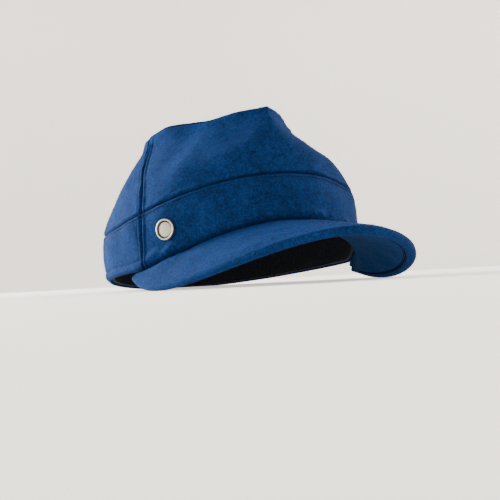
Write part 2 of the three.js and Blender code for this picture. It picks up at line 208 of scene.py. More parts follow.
@dataclass(frozen=True)
class CrownForm:
    """The crown's shape, by an angle from the front and a fractional section index u."""

    half_width: float = 84.0
    front_reach: float = 99.0
    back_reach: float = 102.0
    arch_rise: float = 21.6
    arch_end: float = 73.0
    back_dip: float = 3.6
    band_height: float = 30.5
    rise: float = 66.0
    back_fall: float = 12.5
    wall: float = 2.4
    gap: float = 0.06

    def along_sections(self, values: Array, u: Array) -> Array:
        """Interpolates smoothly through one value for each section.

        Args:
            values: One row for each section, then one for each u where they differ.
            u: The section indices.

        Returns:
            One value for each u.
        """
        first = np.clip(np.floor(u).astype(int), 0, APEX - 1)
        t = u - first
        rows = [np.clip(first + k, 0, APEX) for k in (-1, 0, 1, 2)]
        if values.ndim > 1:
            which = np.arange(len(u))
            p0, p1, p2, p3 = (values[row, which] for row in rows)
            t = t[:, None]
        else:
            p0, p1, p2, p3 = (values[row] for row in rows)
        return 0.5 * (
            2 * p1
            + (p2 - p0) * t
            + (2 * p0 - 5 * p1 + 4 * p2 - p3) * t**2
            + (3 * p1 - p0 - 3 * p2 + p3) * t**3
        )

    def side_seam(self, u: Array) -> Array:
        """The angle of the side seam, in radians from the front."""
        angles = np.array([s.seam_angle for s in SECTIONS], float)
        u = np.asarray(u, float)
        return np.radians(self.along_sections(angles, u.ravel()).reshape(u.shape))

    def section_points(self, index: int, angle: Array) -> Array:
        """Points of one section.

        Args:
            index: The section's place in SECTIONS.
            angle: Angles from the front, in radians from -pi to pi.

        Returns:
            One point for each angle.
        """
        s = SECTIONS[index]
        across, along = np.sin(angle), np.cos(angle)
        ahead = along > 0
        exponent = 2 / np.where(ahead, s.curve, s.back_curve)
        middle = s.middle * self.back_reach
        reach = np.where(ahead, s.front * self.front_reach + middle, s.back * self.back_reach - middle)
        back_shape = np.minimum(along, 0) ** 2
        end = math.radians(self.arch_end)
        hem_arch = np.sin(np.clip((end - np.abs(angle)) / end, 0, 1) * math.pi / 2) ** 1.35
        arch_shape = np.maximum(along, 0) ** 1.6 if index else hem_arch
        dip = 0 if index else self.back_dip * back_shape
        height = min(s.level, 1) * self.band_height + max(s.level - 1, 0) * self.rise
        return np.stack(
            [
                s.width * self.half_width * signed_power(across, exponent),
                middle - reach * signed_power(along, exponent),
                height + s.arch * self.arch_rise * arch_shape - s.fall * self.back_fall * back_shape - dip,
            ],
            axis=-1,
        )

    def fold_rise(self, angle: Array, u: Array) -> Array:
        """How far the folds move the crown's face out, or in where it is negative."""
        degrees = np.abs(np.degrees(angle))
        total = np.zeros_like(u)
        for fold in FOLDS:
            away = ((degrees - fold.angle) / fold.around) ** 2 + ((u - fold.level) / fold.upward) ** 2
            total += fold.rise * self.rise * np.exp(-away)
        return total

    def face(self, angle: Array | float, u: Array | float) -> Array:
        """Points of the crown's outer face.

        Args:
            angle: Angles from the front, in radians, positive towards +X.
            u: Section indices, of a shape that goes with the angles'.

        Returns:
            The points, in the shape of the two together, with a last axis of three.
        """
        angle, u = np.broadcast_arrays(np.asarray(angle, float), np.asarray(u, float))
        around = (angle.ravel() + math.pi) % (2 * math.pi) - math.pi
        level = u.ravel()
        stack = np.stack([self.section_points(i, around) for i in range(len(SECTIONS))])
        points = self.along_sections(stack, level)
        outward = points - np.array([0, 0, self.band_height])
        outward /= np.linalg.norm(outward, axis=1, keepdims=True)
        return (points + outward * self.fold_rise(around, level)[:, None]).reshape(*angle.shape, 3)

    def normal(self, angle: Array | float, u: Array | float) -> Array:
        """Outward normals of the crown's face, over a patch wide enough to round off its edges."""
        turn, climb = math.radians(7), 0.45
        angle, u = np.broadcast_arrays(np.asarray(angle, float), np.asarray(u, float))
        level = np.minimum(u, APEX - climb)
        across = self.face(angle + turn, level) - self.face(angle - turn, level)
        up = self.face(angle, level + climb) - self.face(angle, np.maximum(level - climb, 0))
        normal = np.cross(across, up)
        normal /= np.linalg.norm(normal, axis=-1, keepdims=True)
        top = np.clip((u - (APEX - 0.8)) / 0.5, 0, 1)[..., None]
        normal = normal * (1 - top) + np.array([0, 0, 1.0]) * top
        return normal / np.linalg.norm(normal, axis=-1, keepdims=True)

    def at_depth(self, angle: Array | float, u: Array | float, depth: Array | float) -> Array:
        """The crown's face moved inwards by a depth."""
        return self.face(angle, u) - self.normal(angle, u) * np.asarray(depth)[..., None]

    def angle_per_mm(self, angle: Array | float, u: Array | float) -> Array:
        """How much angle one millimetre of the face takes."""
        step = math.radians(1)
        return step / np.linalg.norm(self.face(angle, u) - self.face(np.asarray(angle) + step, u), axis=-1)

    def index_per_mm(self, angle: Array | float, u: Array | float) -> Array:
        """How much section index one millimetre of the face takes."""
        return 0.02 / np.linalg.norm(self.face(angle, u) - self.face(angle, np.asarray(u) + 0.02), axis=-1)


@dataclass(frozen=True)
class SeamRelief:
    """The felt beside a sewn edge: turned in at the seam, raised on its allowance, sunk at the stitches."""

    groove: float = 1.1
    groove_width: float = 0.85
    ridge: float = 0.4
    ridge_at: float = 2.1
    ridge_width: float = 1.1
    channel: float = 0.36
    channel_at: float = 3.4
    channel_width: float = 0.6

    def height(self, away: Array | float) -> Array:
        """How far the face stands out, by the distance from the seam."""
        away = np.asarray(away, float)
        groove = self.groove * np.exp(-((away / self.groove_width) ** 2))
        ridge = self.ridge * np.exp(-(((away - self.ridge_at) / self.ridge_width) ** 2))
        channel = self.channel * np.exp(-(((away - self.channel_at) / self.channel_width) ** 2))
        return ridge - groove - channel

    def painted_shade(self, away: Array) -> Array:
        """How much shade is painted on the felt in the seam's groove and stitch channel, from 0 to 1."""
        groove = np.exp(-((away / (1.1 * self.groove_width)) ** 2))
        stitched = 0.55 * np.exp(-(((away - self.channel_at) / (1.2 * self.channel_width)) ** 2))
        return groove + (stitched if self.channel > 0 else 0)


TOPSTITCHED = SeamRelief()
PLAIN_SEAM = SeamRelief(channel=0.0, ridge=0.35, ridge_width=1.4)
CREST_SEAM = SeamRelief(channel=0.0, groove=0.9, ridge=0.25, ridge_width=1.6)
HEM_EDGE = SeamRelief(
    groove=1.1, groove_width=1.2, ridge=0.5, ridge_at=3.0, ridge_width=2.0, channel=0.5, channel_at=6.0
)
BRIM_JOIN = SeamRelief(groove=1.2, groove_width=1.3, ridge=0.9, ridge_at=4.2, ridge_width=2.6, channel=0.0)


@dataclass(frozen=True)
class Unevenness:
    """Soft waves of handled felt: a fixed sum of sines, in millimetres."""

    seed: int
    wavelength: float
    height: float
    waves: int = 14

    def at(self, points: Array) -> Array:
        """How far the waves move the face at each point."""
        rng = np.random.default_rng(self.seed)
        directions = rng.normal(size=(self.waves, 3))
        directions /= np.linalg.norm(directions, axis=1, keepdims=True)
        directions *= 2 * math.pi / self.wavelength / rng.uniform(0.7, 1.5, (self.waves, 1))
        phases = rng.uniform(0, 2 * math.pi, self.waves)
        return self.height * np.sin(points @ directions.T + phases).sum(axis=-1) / math.sqrt(self.waves / 2)


@dataclass(frozen=True)
class Patch:
    """A grid of point pairs of one felt piece, in the cap's millimetres."""

    outer: Array
    inner: Array
    painted_shade: Array
    normal: Array
    open_quads: Array | None = None

    def mirrored(self) -> "Patch":
        """The same patch on the other side of the cap."""
        flip = np.array([-1.0, 1.0, 1.0])
        outer, inner, normal = (grid[:, ::-1] * flip for grid in (self.outer, self.inner, self.normal))
        return Patch(outer, inner, self.painted_shade[:, ::-1], normal)


def triangles_of(ids: Array, open_quads: Array | None = None) -> Array:
    """Splits a grid of vertex numbers into triangles and leaves out flat ones."""
    a, b, c, d = ids[:-1, :-1], ids[:-1, 1:], ids[1:, 1:], ids[1:, :-1]
    kept = np.ones(a.shape, bool) if open_quads is None else ~open_quads
    faces = np.concatenate([np.stack([a, b, c], -1)[kept], np.stack([a, c, d], -1)[kept]])
    sound = (faces[:, 0] != faces[:, 1]) & (faces[:, 1] != faces[:, 2]) & (faces[:, 2] != faces[:, 0])
    return faces[sound]


def looped(ids: Array) -> Array:
    """A grid of vertex numbers with its first column again after its last."""
    return np.concatenate([ids, ids[:, :1]], axis=1)


def quads_of(ids: Array) -> Array:
    """The quads between a grid's neighbouring vertices."""
    return np.stack([ids[:-1, :-1], ids[:-1, 1:], ids[1:, 1:], ids[1:, :-1]], -1).reshape(-1, 4)


def set_values(obj: bpy.types.Object, name: str, values: Array) -> None:
    """Gives a mesh an attribute with one number for each vertex."""
    layer = obj.data.attributes.new(name, "FLOAT", "POINT")
    layer.data.foreach_set("value", np.asarray(values, np.float32))


def mesh_object(name: str, points: Array, faces: Sequence[Sequence[int]]) -> bpy.types.Object:
    """Makes a smooth mesh object in the scene.

    Args:
        name: The object's name.
        points: The vertices, in metres.
        faces: The faces' vertex numbers.

    Returns:
        The object, at the origin.
    """
    mesh = bpy.data.meshes.new(name)
    mesh.from_pydata(points.tolist(), [], [list(map(int, face)) for face in faces])
    mesh.shade_smooth()
    obj = bpy.data.objects.new(name, mesh)
    bpy.context.scene.collection.objects.link(obj)
    return obj


def closed_felt(name: str, patches: Sequence[Patch], placing: Placing) -> bpy.types.Object:
    """Welds patches along their shared edges and closes every free edge between the two faces.

    Args:
        name: The object's name.
        patches: The grids of point pairs.
        placing: Sets the cap on the floor.

    Returns:
        One closed mesh, with the attribute "pressed".
    """
    outer = np.concatenate([p.outer.reshape(-1, 3) for p in patches])
    inner = np.concatenate([p.inner.reshape(-1, 3) for p in patches])
    painted_shade = np.concatenate([p.painted_shade.ravel() for p in patches])
    _, first, number = np.unique(np.round(outer, 3), axis=0, return_index=True, return_inverse=True)
    number = number.ravel()
    faces, start = [], 0
    for patch in patches:
        rows, columns = patch.painted_shade.shape
        ids = number[start : start + rows * columns].reshape(rows, columns)
        faces.append(triangles_of(ids, patch.open_quads))
        start += rows * columns
    skin = np.concatenate(faces)
    count = len(first)
    edges = np.concatenate([skin[:, [0, 1]], skin[:, [1, 2]], skin[:, [2, 0]]])
    free = edges[~np.isin(edges[:, 0] * count + edges[:, 1], edges[:, 1] * count + edges[:, 0])]
    a, b = free[:, 0], free[:, 1]
    triangles = np.concatenate(
        [
            skin,
            skin[:, [0, 2, 1]] + count,
            np.stack([b, a, a + count], -1),
            np.stack([b, a + count, b + count], -1),
        ]
    )
    points = np.concatenate([outer[first], inner[first]])
    obj = mesh_object(name, placing.placed(points), triangles)
    # The inner faces get an even share of painted shade; the outer faces carry the painted shade of their
    # seam grooves and stitch channels.
    values = np.concatenate([np.clip(painted_shade[first], 0, 1), np.full(count, 0.35)])
    set_values(obj, "painted_shade", values)
    return obj


@dataclass(frozen=True)
class Thread:
    """A row of stitches as a path on the felt, with the felt's normal at each point."""

    points: Array
    normals: Array


class GeometryTree:
    """A Geometry Nodes tree with named inputs, run on a mesh and turned into a plain mesh."""

    def __init__(self, name: str, sizes: dict[str, float | int]) -> None:
        """Starts a tree.

        Args:
            name: The tree's name.
            sizes: Its number inputs, by name, with their usual values in metres or counts.
        """
        self.tree = bpy.data.node_groups.new(name, "GeometryNodeTree")
        self.sizes = sizes
        face = self.tree.interface
        face.new_socket("Geometry", in_out="INPUT", socket_type="NodeSocketGeometry")
        face.new_socket("Geometry", in_out="OUTPUT", socket_type="NodeSocketGeometry")
        self.identifiers = {}
        for label, value in sizes.items():
            kind = "NodeSocketInt" if isinstance(value, int) else "NodeSocketFloat"
            socket = face.new_socket(label, in_out="INPUT", socket_type=kind)
            self.identifiers[label] = socket.identifier
        socket = face.new_socket("Material", in_out="INPUT", socket_type="NodeSocketMaterial")
        self.identifiers["Material"] = socket.identifier
        self.start = add_node(self.tree, "NodeGroupInput")

    def given(self, label: str) -> bpy.types.NodeSocket:
        """The output that carries a named input."""
        return self.start.outputs[label]

    def finish(self, geometry: bpy.types.NodeSocket) -> None:
        """Ends the tree: real geometry, smooth, with its material."""
        real = add_node(self.tree, "GeometryNodeRealizeInstances", {"Geometry": geometry})
        smooth = add_node(self.tree, "GeometryNodeSetShadeSmooth", {"Geometry": real.outputs[0]})
        inputs = {"Geometry": smooth.outputs[0], "Material": self.given("Material")}
        dressed = add_node(self.tree, "GeometryNodeSetMaterial", inputs)
        add_node(self.tree, "NodeGroupOutput", {"Geometry": dressed.outputs[0]})

    def run(
        self, obj: bpy.types.Object, material: bpy.types.Material, sizes: dict[str, float | int] | None = None
    ) -> bpy.types.Object:
        """Runs the tree on an object and leaves the result as its plain mesh.

        Args:
            obj: The object that the tree works on, already in the scene.
            material: The result's material.
            sizes: Inputs that differ from their usual values.

        Returns:
            The same object, with no modifier.
        """
        modifier = obj.modifiers.new(self.tree.name, "NODES")
        modifier.node_group = self.tree
        for label, value in {**self.sizes, **(sizes or {})}.items():
            modifier[self.identifiers[label]] = value
        modifier[self.identifiers["Material"]] = material
        graph = bpy.context.evaluated_depsgraph_get()
        made = bpy.data.meshes.new_from_object(obj.evaluated_get(graph), depsgraph=graph)
        obj.modifiers.clear()
        before, obj.data = obj.data, made
        bpy.data.meshes.remove(before)
        made.name = obj.name
        return obj


class StitchTree(GeometryTree):
    """Stitches set along paths, each a short bowed piece of thread laid on the felt."""

    def __init__(self) -> None:
        """Builds the tree: an even path, and one stitch at each of its points."""
        sizes = {"Pitch": 3.4 * MM, "Length": 2.7 * MM, "Thickness": 0.5 * MM}
        super().__init__("stitches_along_path", sizes)
        path = add_node(self.tree, "GeometryNodeMeshToCurve", {"Mesh": self.given("Geometry")})
        inputs = {"Curve": path.outputs[0], "Length": self.given("Pitch")}
        even = add_node(self.tree, "GeometryNodeResampleCurve", inputs, mode="LENGTH")
        normal = add_node(
            self.tree, "GeometryNodeInputNamedAttribute", {"Name": "surface_normal"}, data_type="FLOAT_VECTOR"
        )
        along = add_node(self.tree, "GeometryNodeInputTangent")
        inputs = {"Primary Axis": normal.outputs["Attribute"], "Secondary Axis": along.outputs[0]}
        turn = add_node(
            self.tree, "FunctionNodeAxesToRotation", inputs, primary_axis="Z", secondary_axis="X"
        )
        inputs = {"Resolution": 5, "Start": (-0.5, 0, -0.9), "Middle": (0, 0, 1.1), "End": (0.5, 0, -0.9)}
        bow = add_node(self.tree, "GeometryNodeCurveQuadraticBezier", inputs)
        ring = add_node(self.tree, "GeometryNodeCurvePrimitiveCircle", {"Resolution": 6, "Radius": 0.5})
        inputs = {"Curve": bow.outputs[0], "Profile Curve": ring.outputs[0], "Fill Caps": True}
        thread = add_node(self.tree, "GeometryNodeCurveToMesh", inputs)
        thick = self.given("Thickness")
        inputs = {"X": self.given("Length"), "Y": thick, "Z": thick}
        size = add_node(self.tree, "ShaderNodeCombineXYZ", inputs)
        inputs = {
            "Points": even.outputs[0],
            "Instance": thread.outputs[0],
            "Rotation": turn.outputs[0],
            "Scale": size.outputs[0],
        }
        self.finish(add_node(self.tree, "GeometryNodeInstanceOnPoints", inputs).outputs[0])


class FibreTree(GeometryTree):
    """Loose wool fibres: short curls scattered over a skin of felt."""

    def __init__(self) -> None:
        """Builds the tree: scattered points, and one turned and scaled curl at each."""
        super().__init__("loose_fibres", {"Density": 2.0e5, "Length": 1.5 * MM, "Seed": 4})
        seed = self.given("Seed")
        inputs = {"Mesh": self.given("Geometry"), "Density": self.given("Density"), "Seed": seed}
        points = add_node(self.tree, "GeometryNodeDistributePointsOnFaces", inputs)
        inputs = {0: (-0.75, -0.5, 0.0), 1: (0.75, 0.5, 6.283), "Seed": seed}
        lean = add_node(self.tree, "FunctionNodeRandomValue", inputs, data_type="FLOAT_VECTOR")
        lean_turn = add_node(self.tree, "FunctionNodeEulerToRotation", {"Euler": lean.outputs[0]})
        inputs = {"Rotation": points.outputs["Rotation"], "Rotate By": lean_turn.outputs[0]}
        turn = add_node(self.tree, "FunctionNodeRotateRotation", inputs, rotation_space="LOCAL")
        inputs = {2: 0.55, 3: 1.35, "Seed": 9}
        share = add_node(self.tree, "FunctionNodeRandomValue", inputs, data_type="FLOAT")
        inputs = {0: share.outputs[1], 1: self.given("Length")}
        size = add_node(self.tree, "ShaderNodeMath", inputs, operation="MULTIPLY")
        path = {"Start": (0, 0, -0.08), "Middle": (0.4, 0.05, 0.42), "End": (1, -0.05, 0.1)}
        inputs = {"Resolution": 2, **path}
        curl = add_node(self.tree, "GeometryNodeCurveQuadraticBezier", inputs)
        ring = add_node(self.tree, "GeometryNodeCurvePrimitiveCircle", {"Resolution": 3, "Radius": 0.022})
        inputs = {"Curve": curl.outputs[0], "Profile Curve": ring.outputs[0], "Fill Caps": True}
        fibre = add_node(self.tree, "GeometryNodeCurveToMesh", inputs)
        inputs = {
            "Points": points.outputs["Points"],
            "Instance": fibre.outputs[0],
            "Rotation": turn.outputs[0],
            "Scale": size.outputs[0],
        }
        self.finish(add_node(self.tree, "GeometryNodeInstanceOnPoints", inputs).outputs[0])


class RibTree(GeometryTree):
    """Cross ribs of a ribbon, raised where its mesh counts them in the attribute "ribs"."""

    def __init__(self) -> None:
        """Builds the tree: each rib is the upper half of a sine, moved out along the face's normal."""
        super().__init__("ribbon_ribs", {"Rib Height": 0.45 * MM})
        ribs = add_node(self.tree, "GeometryNodeInputNamedAttribute", {"Name": "ribs"}, data_type="FLOAT")
        shown = add_node(self.tree, "GeometryNodeInputNamedAttribute", {"Name": "ribbed"}, data_type="FLOAT")
        inputs = {0: ribs.outputs["Attribute"], 1: math.pi}
        phase = add_node(self.tree, "ShaderNodeMath", inputs, operation="MULTIPLY")
        wave = add_node(self.tree, "ShaderNodeMath", {0: phase.outputs[0]}, operation="SINE")
        hump = add_node(self.tree, "ShaderNodeMath", {0: wave.outputs[0]}, operation="ABSOLUTE")
        inputs = {0: hump.outputs[0], 1: shown.outputs["Attribute"]}
        rise = add_node(self.tree, "ShaderNodeMath", inputs, operation="MULTIPLY")
        inputs = {0: rise.outputs[0], 1: self.given("Rib Height")}
        height = add_node(self.tree, "ShaderNodeMath", inputs, operation="MULTIPLY")
        normal = add_node(self.tree, "GeometryNodeInputNormal")
        inputs = {0: normal.outputs[0], "Scale": height.outputs[0]}
        offset = add_node(self.tree, "ShaderNodeVectorMath", inputs, operation="SCALE")
        inputs = {"Geometry": self.given("Geometry"), "Offset": offset.outputs[0]}
        self.finish(add_node(self.tree, "GeometryNodeSetPosition", inputs).outputs[0])


class PipingTree(GeometryTree):
    """A round binding swept along a path."""

    def __init__(self) -> None:
        """Builds the tree: the path as a curve, with a ring as its profile."""
        super().__init__("bound_edge", {"Radius": 0.9 * MM})
        path = add_node(self.tree, "GeometryNodeMeshToCurve", {"Mesh": self.given("Geometry")})
        inputs = {"Resolution": 10, "Radius": self.given("Radius")}
        ring = add_node(self.tree, "GeometryNodeCurvePrimitiveCircle", inputs)
        inputs = {"Curve": path.outputs[0], "Profile Curve": ring.outputs[0], "Fill Caps": True}
        self.finish(add_node(self.tree, "GeometryNodeCurveToMesh", inputs).outputs[0])


def blank_material(name: str) -> bpy.types.Material:
    """Makes a material whose node tree is empty."""
    made = bpy.data.materials.new(name)
    made.use_nodes = True
    made.node_tree.nodes.clear()
    return made


@dataclass(frozen=True)
class FeltFinish:
    """Milled wool felt: matt and heathered, with short fibres that catch the light at grazing angles."""

    name: str
    hollow: str
    body: str
    tips: str
    bloom: str = "#1E62C4"
    # A fleck is a small tuft of fibres, about 1 mm; patches come from handling and steaming.
    fleck_mm: float = 1.0
    streak_mm: float = 3.2
    patch_mm: float = 24.0
    sheen: float = 0.07

    def material(self) -> bpy.types.Material:
        """The finish as a material."""
        made = blank_material(self.name)
        tree = made.node_tree
        place = add_node(tree, "ShaderNodeTexCoord").outputs["Object"]
        inputs = {"Vector": place, "Scale": 1000 / self.fleck_mm, "Detail": 4.0, "Roughness": 0.7}
        fleck = add_node(tree, "ShaderNodeTexNoise", {**inputs, "Distortion": 0.4})
        inputs = {"Vector": place, "Scale": 1000 / self.streak_mm, "Detail": 3.0, "Roughness": 0.6}
        streak = add_node(tree, "ShaderNodeTexNoise", {**inputs, "Distortion": 1.4})
        inputs = {"Vector": place, "Scale": 1000 / self.patch_mm, "Detail": 2.0, "Roughness": 0.5}
        patch = add_node(tree, "ShaderNodeTexNoise", inputs)
        mixed = add_node(tree, "ShaderNodeMath", {0: streak.outputs[0], 1: 0.36}, operation="MULTIPLY")
        inputs = {0: fleck.outputs[0], 1: 0.64, 2: mixed.outputs[0]}
        heather = add_node(tree, "ShaderNodeMath", inputs, operation="MULTIPLY_ADD")
        ramp = add_node(tree, "ShaderNodeValToRGB", {"Fac": heather.outputs[0]})
        stops = ramp.color_ramp.elements
        stops[0].position, stops[0].color = 0.34, linear(self.hollow)
        stops[1].position, stops[1].color = 0.66, linear(self.tips)
        stops.new(0.5).color = linear(self.body)
        inputs = {"Value": patch.outputs[0], "From Min": 0.3, "From Max": 0.7, "To Min": 0.86, "To Max": 1.14}
        handled = add_node(tree, "ShaderNodeMapRange", inputs)
        # Painted shade: this attribute darkens the felt's colour, down to 0.42, in seam grooves, stitch
        # channels, the brim's roll and on the inner faces.
        shade_attribute = add_node(tree, "ShaderNodeAttribute", attribute_name="painted_shade")
        inputs = {"Value": shade_attribute.outputs["Fac"], "To Min": 1.0, "To Max": 0.42}
        sunk = add_node(tree, "ShaderNodeMapRange", inputs)
        inputs = {0: handled.outputs[0], 1: sunk.outputs[0]}
        value = add_node(tree, "ShaderNodeMath", inputs, operation="MULTIPLY")
        inputs = {"Color": ramp.outputs["Color"], "Value": value.outputs[0]}
        colour = add_node(tree, "ShaderNodeHueSaturation", inputs)
        inputs = {"Value": fleck.outputs[0], "To Min": 0.84, "To Max": 0.98}
        rough = add_node(tree, "ShaderNodeMapRange", inputs)
        inputs = {"Strength": 0.65, "Distance": 0.35 * MM, "Height": heather.outputs[0]}
        bump = add_node(tree, "ShaderNodeBump", inputs)
        inputs = {
            "Base Color": colour.outputs[0],
            "Roughness": rough.outputs[0],
            "Specular IOR Level": 0.03,
            "Sheen Weight": self.sheen,
            "Sheen Roughness": 0.42,
            "Sheen Tint": linear(self.bloom),
            "Normal": bump.outputs[0],
        }
        shader = add_node(tree, "ShaderNodeBsdfPrincipled", inputs)
        add_node(tree, "ShaderNodeOutputMaterial", {"Surface": shader.outputs[0]})
        return made


@dataclass(frozen=True)
class ThreadFinish:
    """Spun polyester sewing thread: a soft lustre and a fine twist."""

    name: str
    dark: str
    light: str
    twist_mm: float = 0.35
    roughness: float = 0.85

    def material(self) -> bpy.types.Material:
        """The finish as a material."""
        made = blank_material(self.name)
        tree = made.node_tree
        place = add_node(tree, "ShaderNodeTexCoord").outputs["Object"]
        inputs = {"Vector": place, "Scale": 1000 / self.twist_mm, "Detail": 2.0}
        twist = add_node(tree, "ShaderNodeTexNoise", inputs)
        ramp = add_node(tree, "ShaderNodeValToRGB", {"Fac": twist.outputs[0]})
        ramp.color_ramp.elements[0].position, ramp.color_ramp.elements[0].color = 0.38, linear(self.dark)
        ramp.color_ramp.elements[1].position, ramp.color_ramp.elements[1].color = 0.62, linear(self.light)
        inputs = {"Strength": 0.5, "Distance": 0.08 * MM, "Height": twist.outputs[0]}
        bump = add_node(tree, "ShaderNodeBump", inputs)
        inputs = {
            "Base Color": ramp.outputs["Color"],
            "Roughness": self.roughness,
            "Specular IOR Level": 0.1,
            "Normal": bump.outputs[0],
        }
        shader = add_node(tree, "ShaderNodeBsdfPrincipled", inputs)
        add_node(tree, "ShaderNodeOutputMaterial", {"Surface": shader.outputs[0]})
        return made


@dataclass(frozen=True)
class MetalFinish:
    """Cast and tumbled nickel: satin, with fine random scratches and a soft grain."""

    name: str
    face: str
    dull: str
    grain_mm: float = 0.5
    roughness: float = 0.36

    def material(self) -> bpy.types.Material:
        """The finish as a material."""
        made = blank_material(self.name)
        tree = made.node_tree
        place = add_node(tree, "ShaderNodeTexCoord").outputs["Object"]
        inputs = {"Vector": place, "Scale": 1000 / self.grain_mm, "Detail": 5.0, "Roughness": 0.7}
        grain = add_node(tree, "ShaderNodeTexNoise", inputs)
        ring = add_node(tree, "ShaderNodeUVMap", uv_map="turned")
        inputs = {"Vector": ring.outputs[0], "Scale": 60.0, "Detail": 3.0, "Distortion": 0.2}
        turned = add_node(tree, "ShaderNodeTexNoise", inputs)
        ramp = add_node(tree, "ShaderNodeValToRGB", {"Fac": turned.outputs[0]})
        ramp.color_ramp.elements[0].position, ramp.color_ramp.elements[0].color = 0.32, linear(self.dull)
        ramp.color_ramp.elements[1].position, ramp.color_ramp.elements[1].color = 0.62, linear(self.face)
        inputs = {
            "Value": grain.outputs[0],
            "From Min": 0.3,
            "From Max": 0.7,
            "To Min": self.roughness - 0.07,
            "To Max": self.roughness + 0.1,
        }
        rough = add_node(tree, "ShaderNodeMapRange", inputs)
        inputs = {"Strength": 0.3, "Distance": 0.05 * MM, "Height": grain.outputs[0]}
        bump = add_node(tree, "ShaderNodeBump", inputs)
        # Tumbling leaves the recesses dark.
        recess = add_node(tree, "ShaderNodeAttribute", attribute_name="tarnish")
        inputs = {"Value": recess.outputs["Fac"], "To Min": 1.0, "To Max": 0.22}
        shade = add_node(tree, "ShaderNodeMapRange", inputs)
        inputs = {"Color": ramp.outputs["Color"], "Value": shade.outputs[0]}
        colour = add_node(tree, "ShaderNodeHueSaturation", inputs)
        inputs = {
            "Base Color": colour.outputs[0],
            "Metallic": 1.0,
            "Roughness": rough.outputs[0],
            "Normal": bump.outputs[0],
        }
        shader = add_node(tree, "ShaderNodeBsdfPrincipled", inputs)
        add_node(tree, "ShaderNodeOutputMaterial", {"Surface": shader.outputs[0]})
        return made


def keep_above_floor(mesh: bpy.types.Mesh) -> None:
    """Presses the fibres and the felt that dip under the floor flat against it."""
    places = np.empty(len(mesh.vertices) * 3, np.float32)
    mesh.vertices.foreach_get("co", places)
    places[2::3] = np.maximum(places[2::3], 0)
    mesh.vertices.foreach_set("co", places)
    mesh.update()


def finish_piece(
    obj: bpy.types.Object,
    material: bpy.types.Material | None = None,
    stands_for: Sequence[str] = (),
) -> bpy.types.Object:
    """Dresses a piece and gives it its place in the frame.

    Args:
        obj: The finished mesh object.
        material: Its material, where it has none yet.
        stands_for: The CAD nodes that it replaces.

    Returns:
        The same object.
    """
    if material:
        obj.data.materials.clear()
        obj.data.materials.append(material)
    keep_above_floor(obj.data)
    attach(obj, BODY)
    if stands_for:
        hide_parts(*stands_for)
    log.info("%s: %d faces", obj.name, len(obj.data.polygons))
    return obj


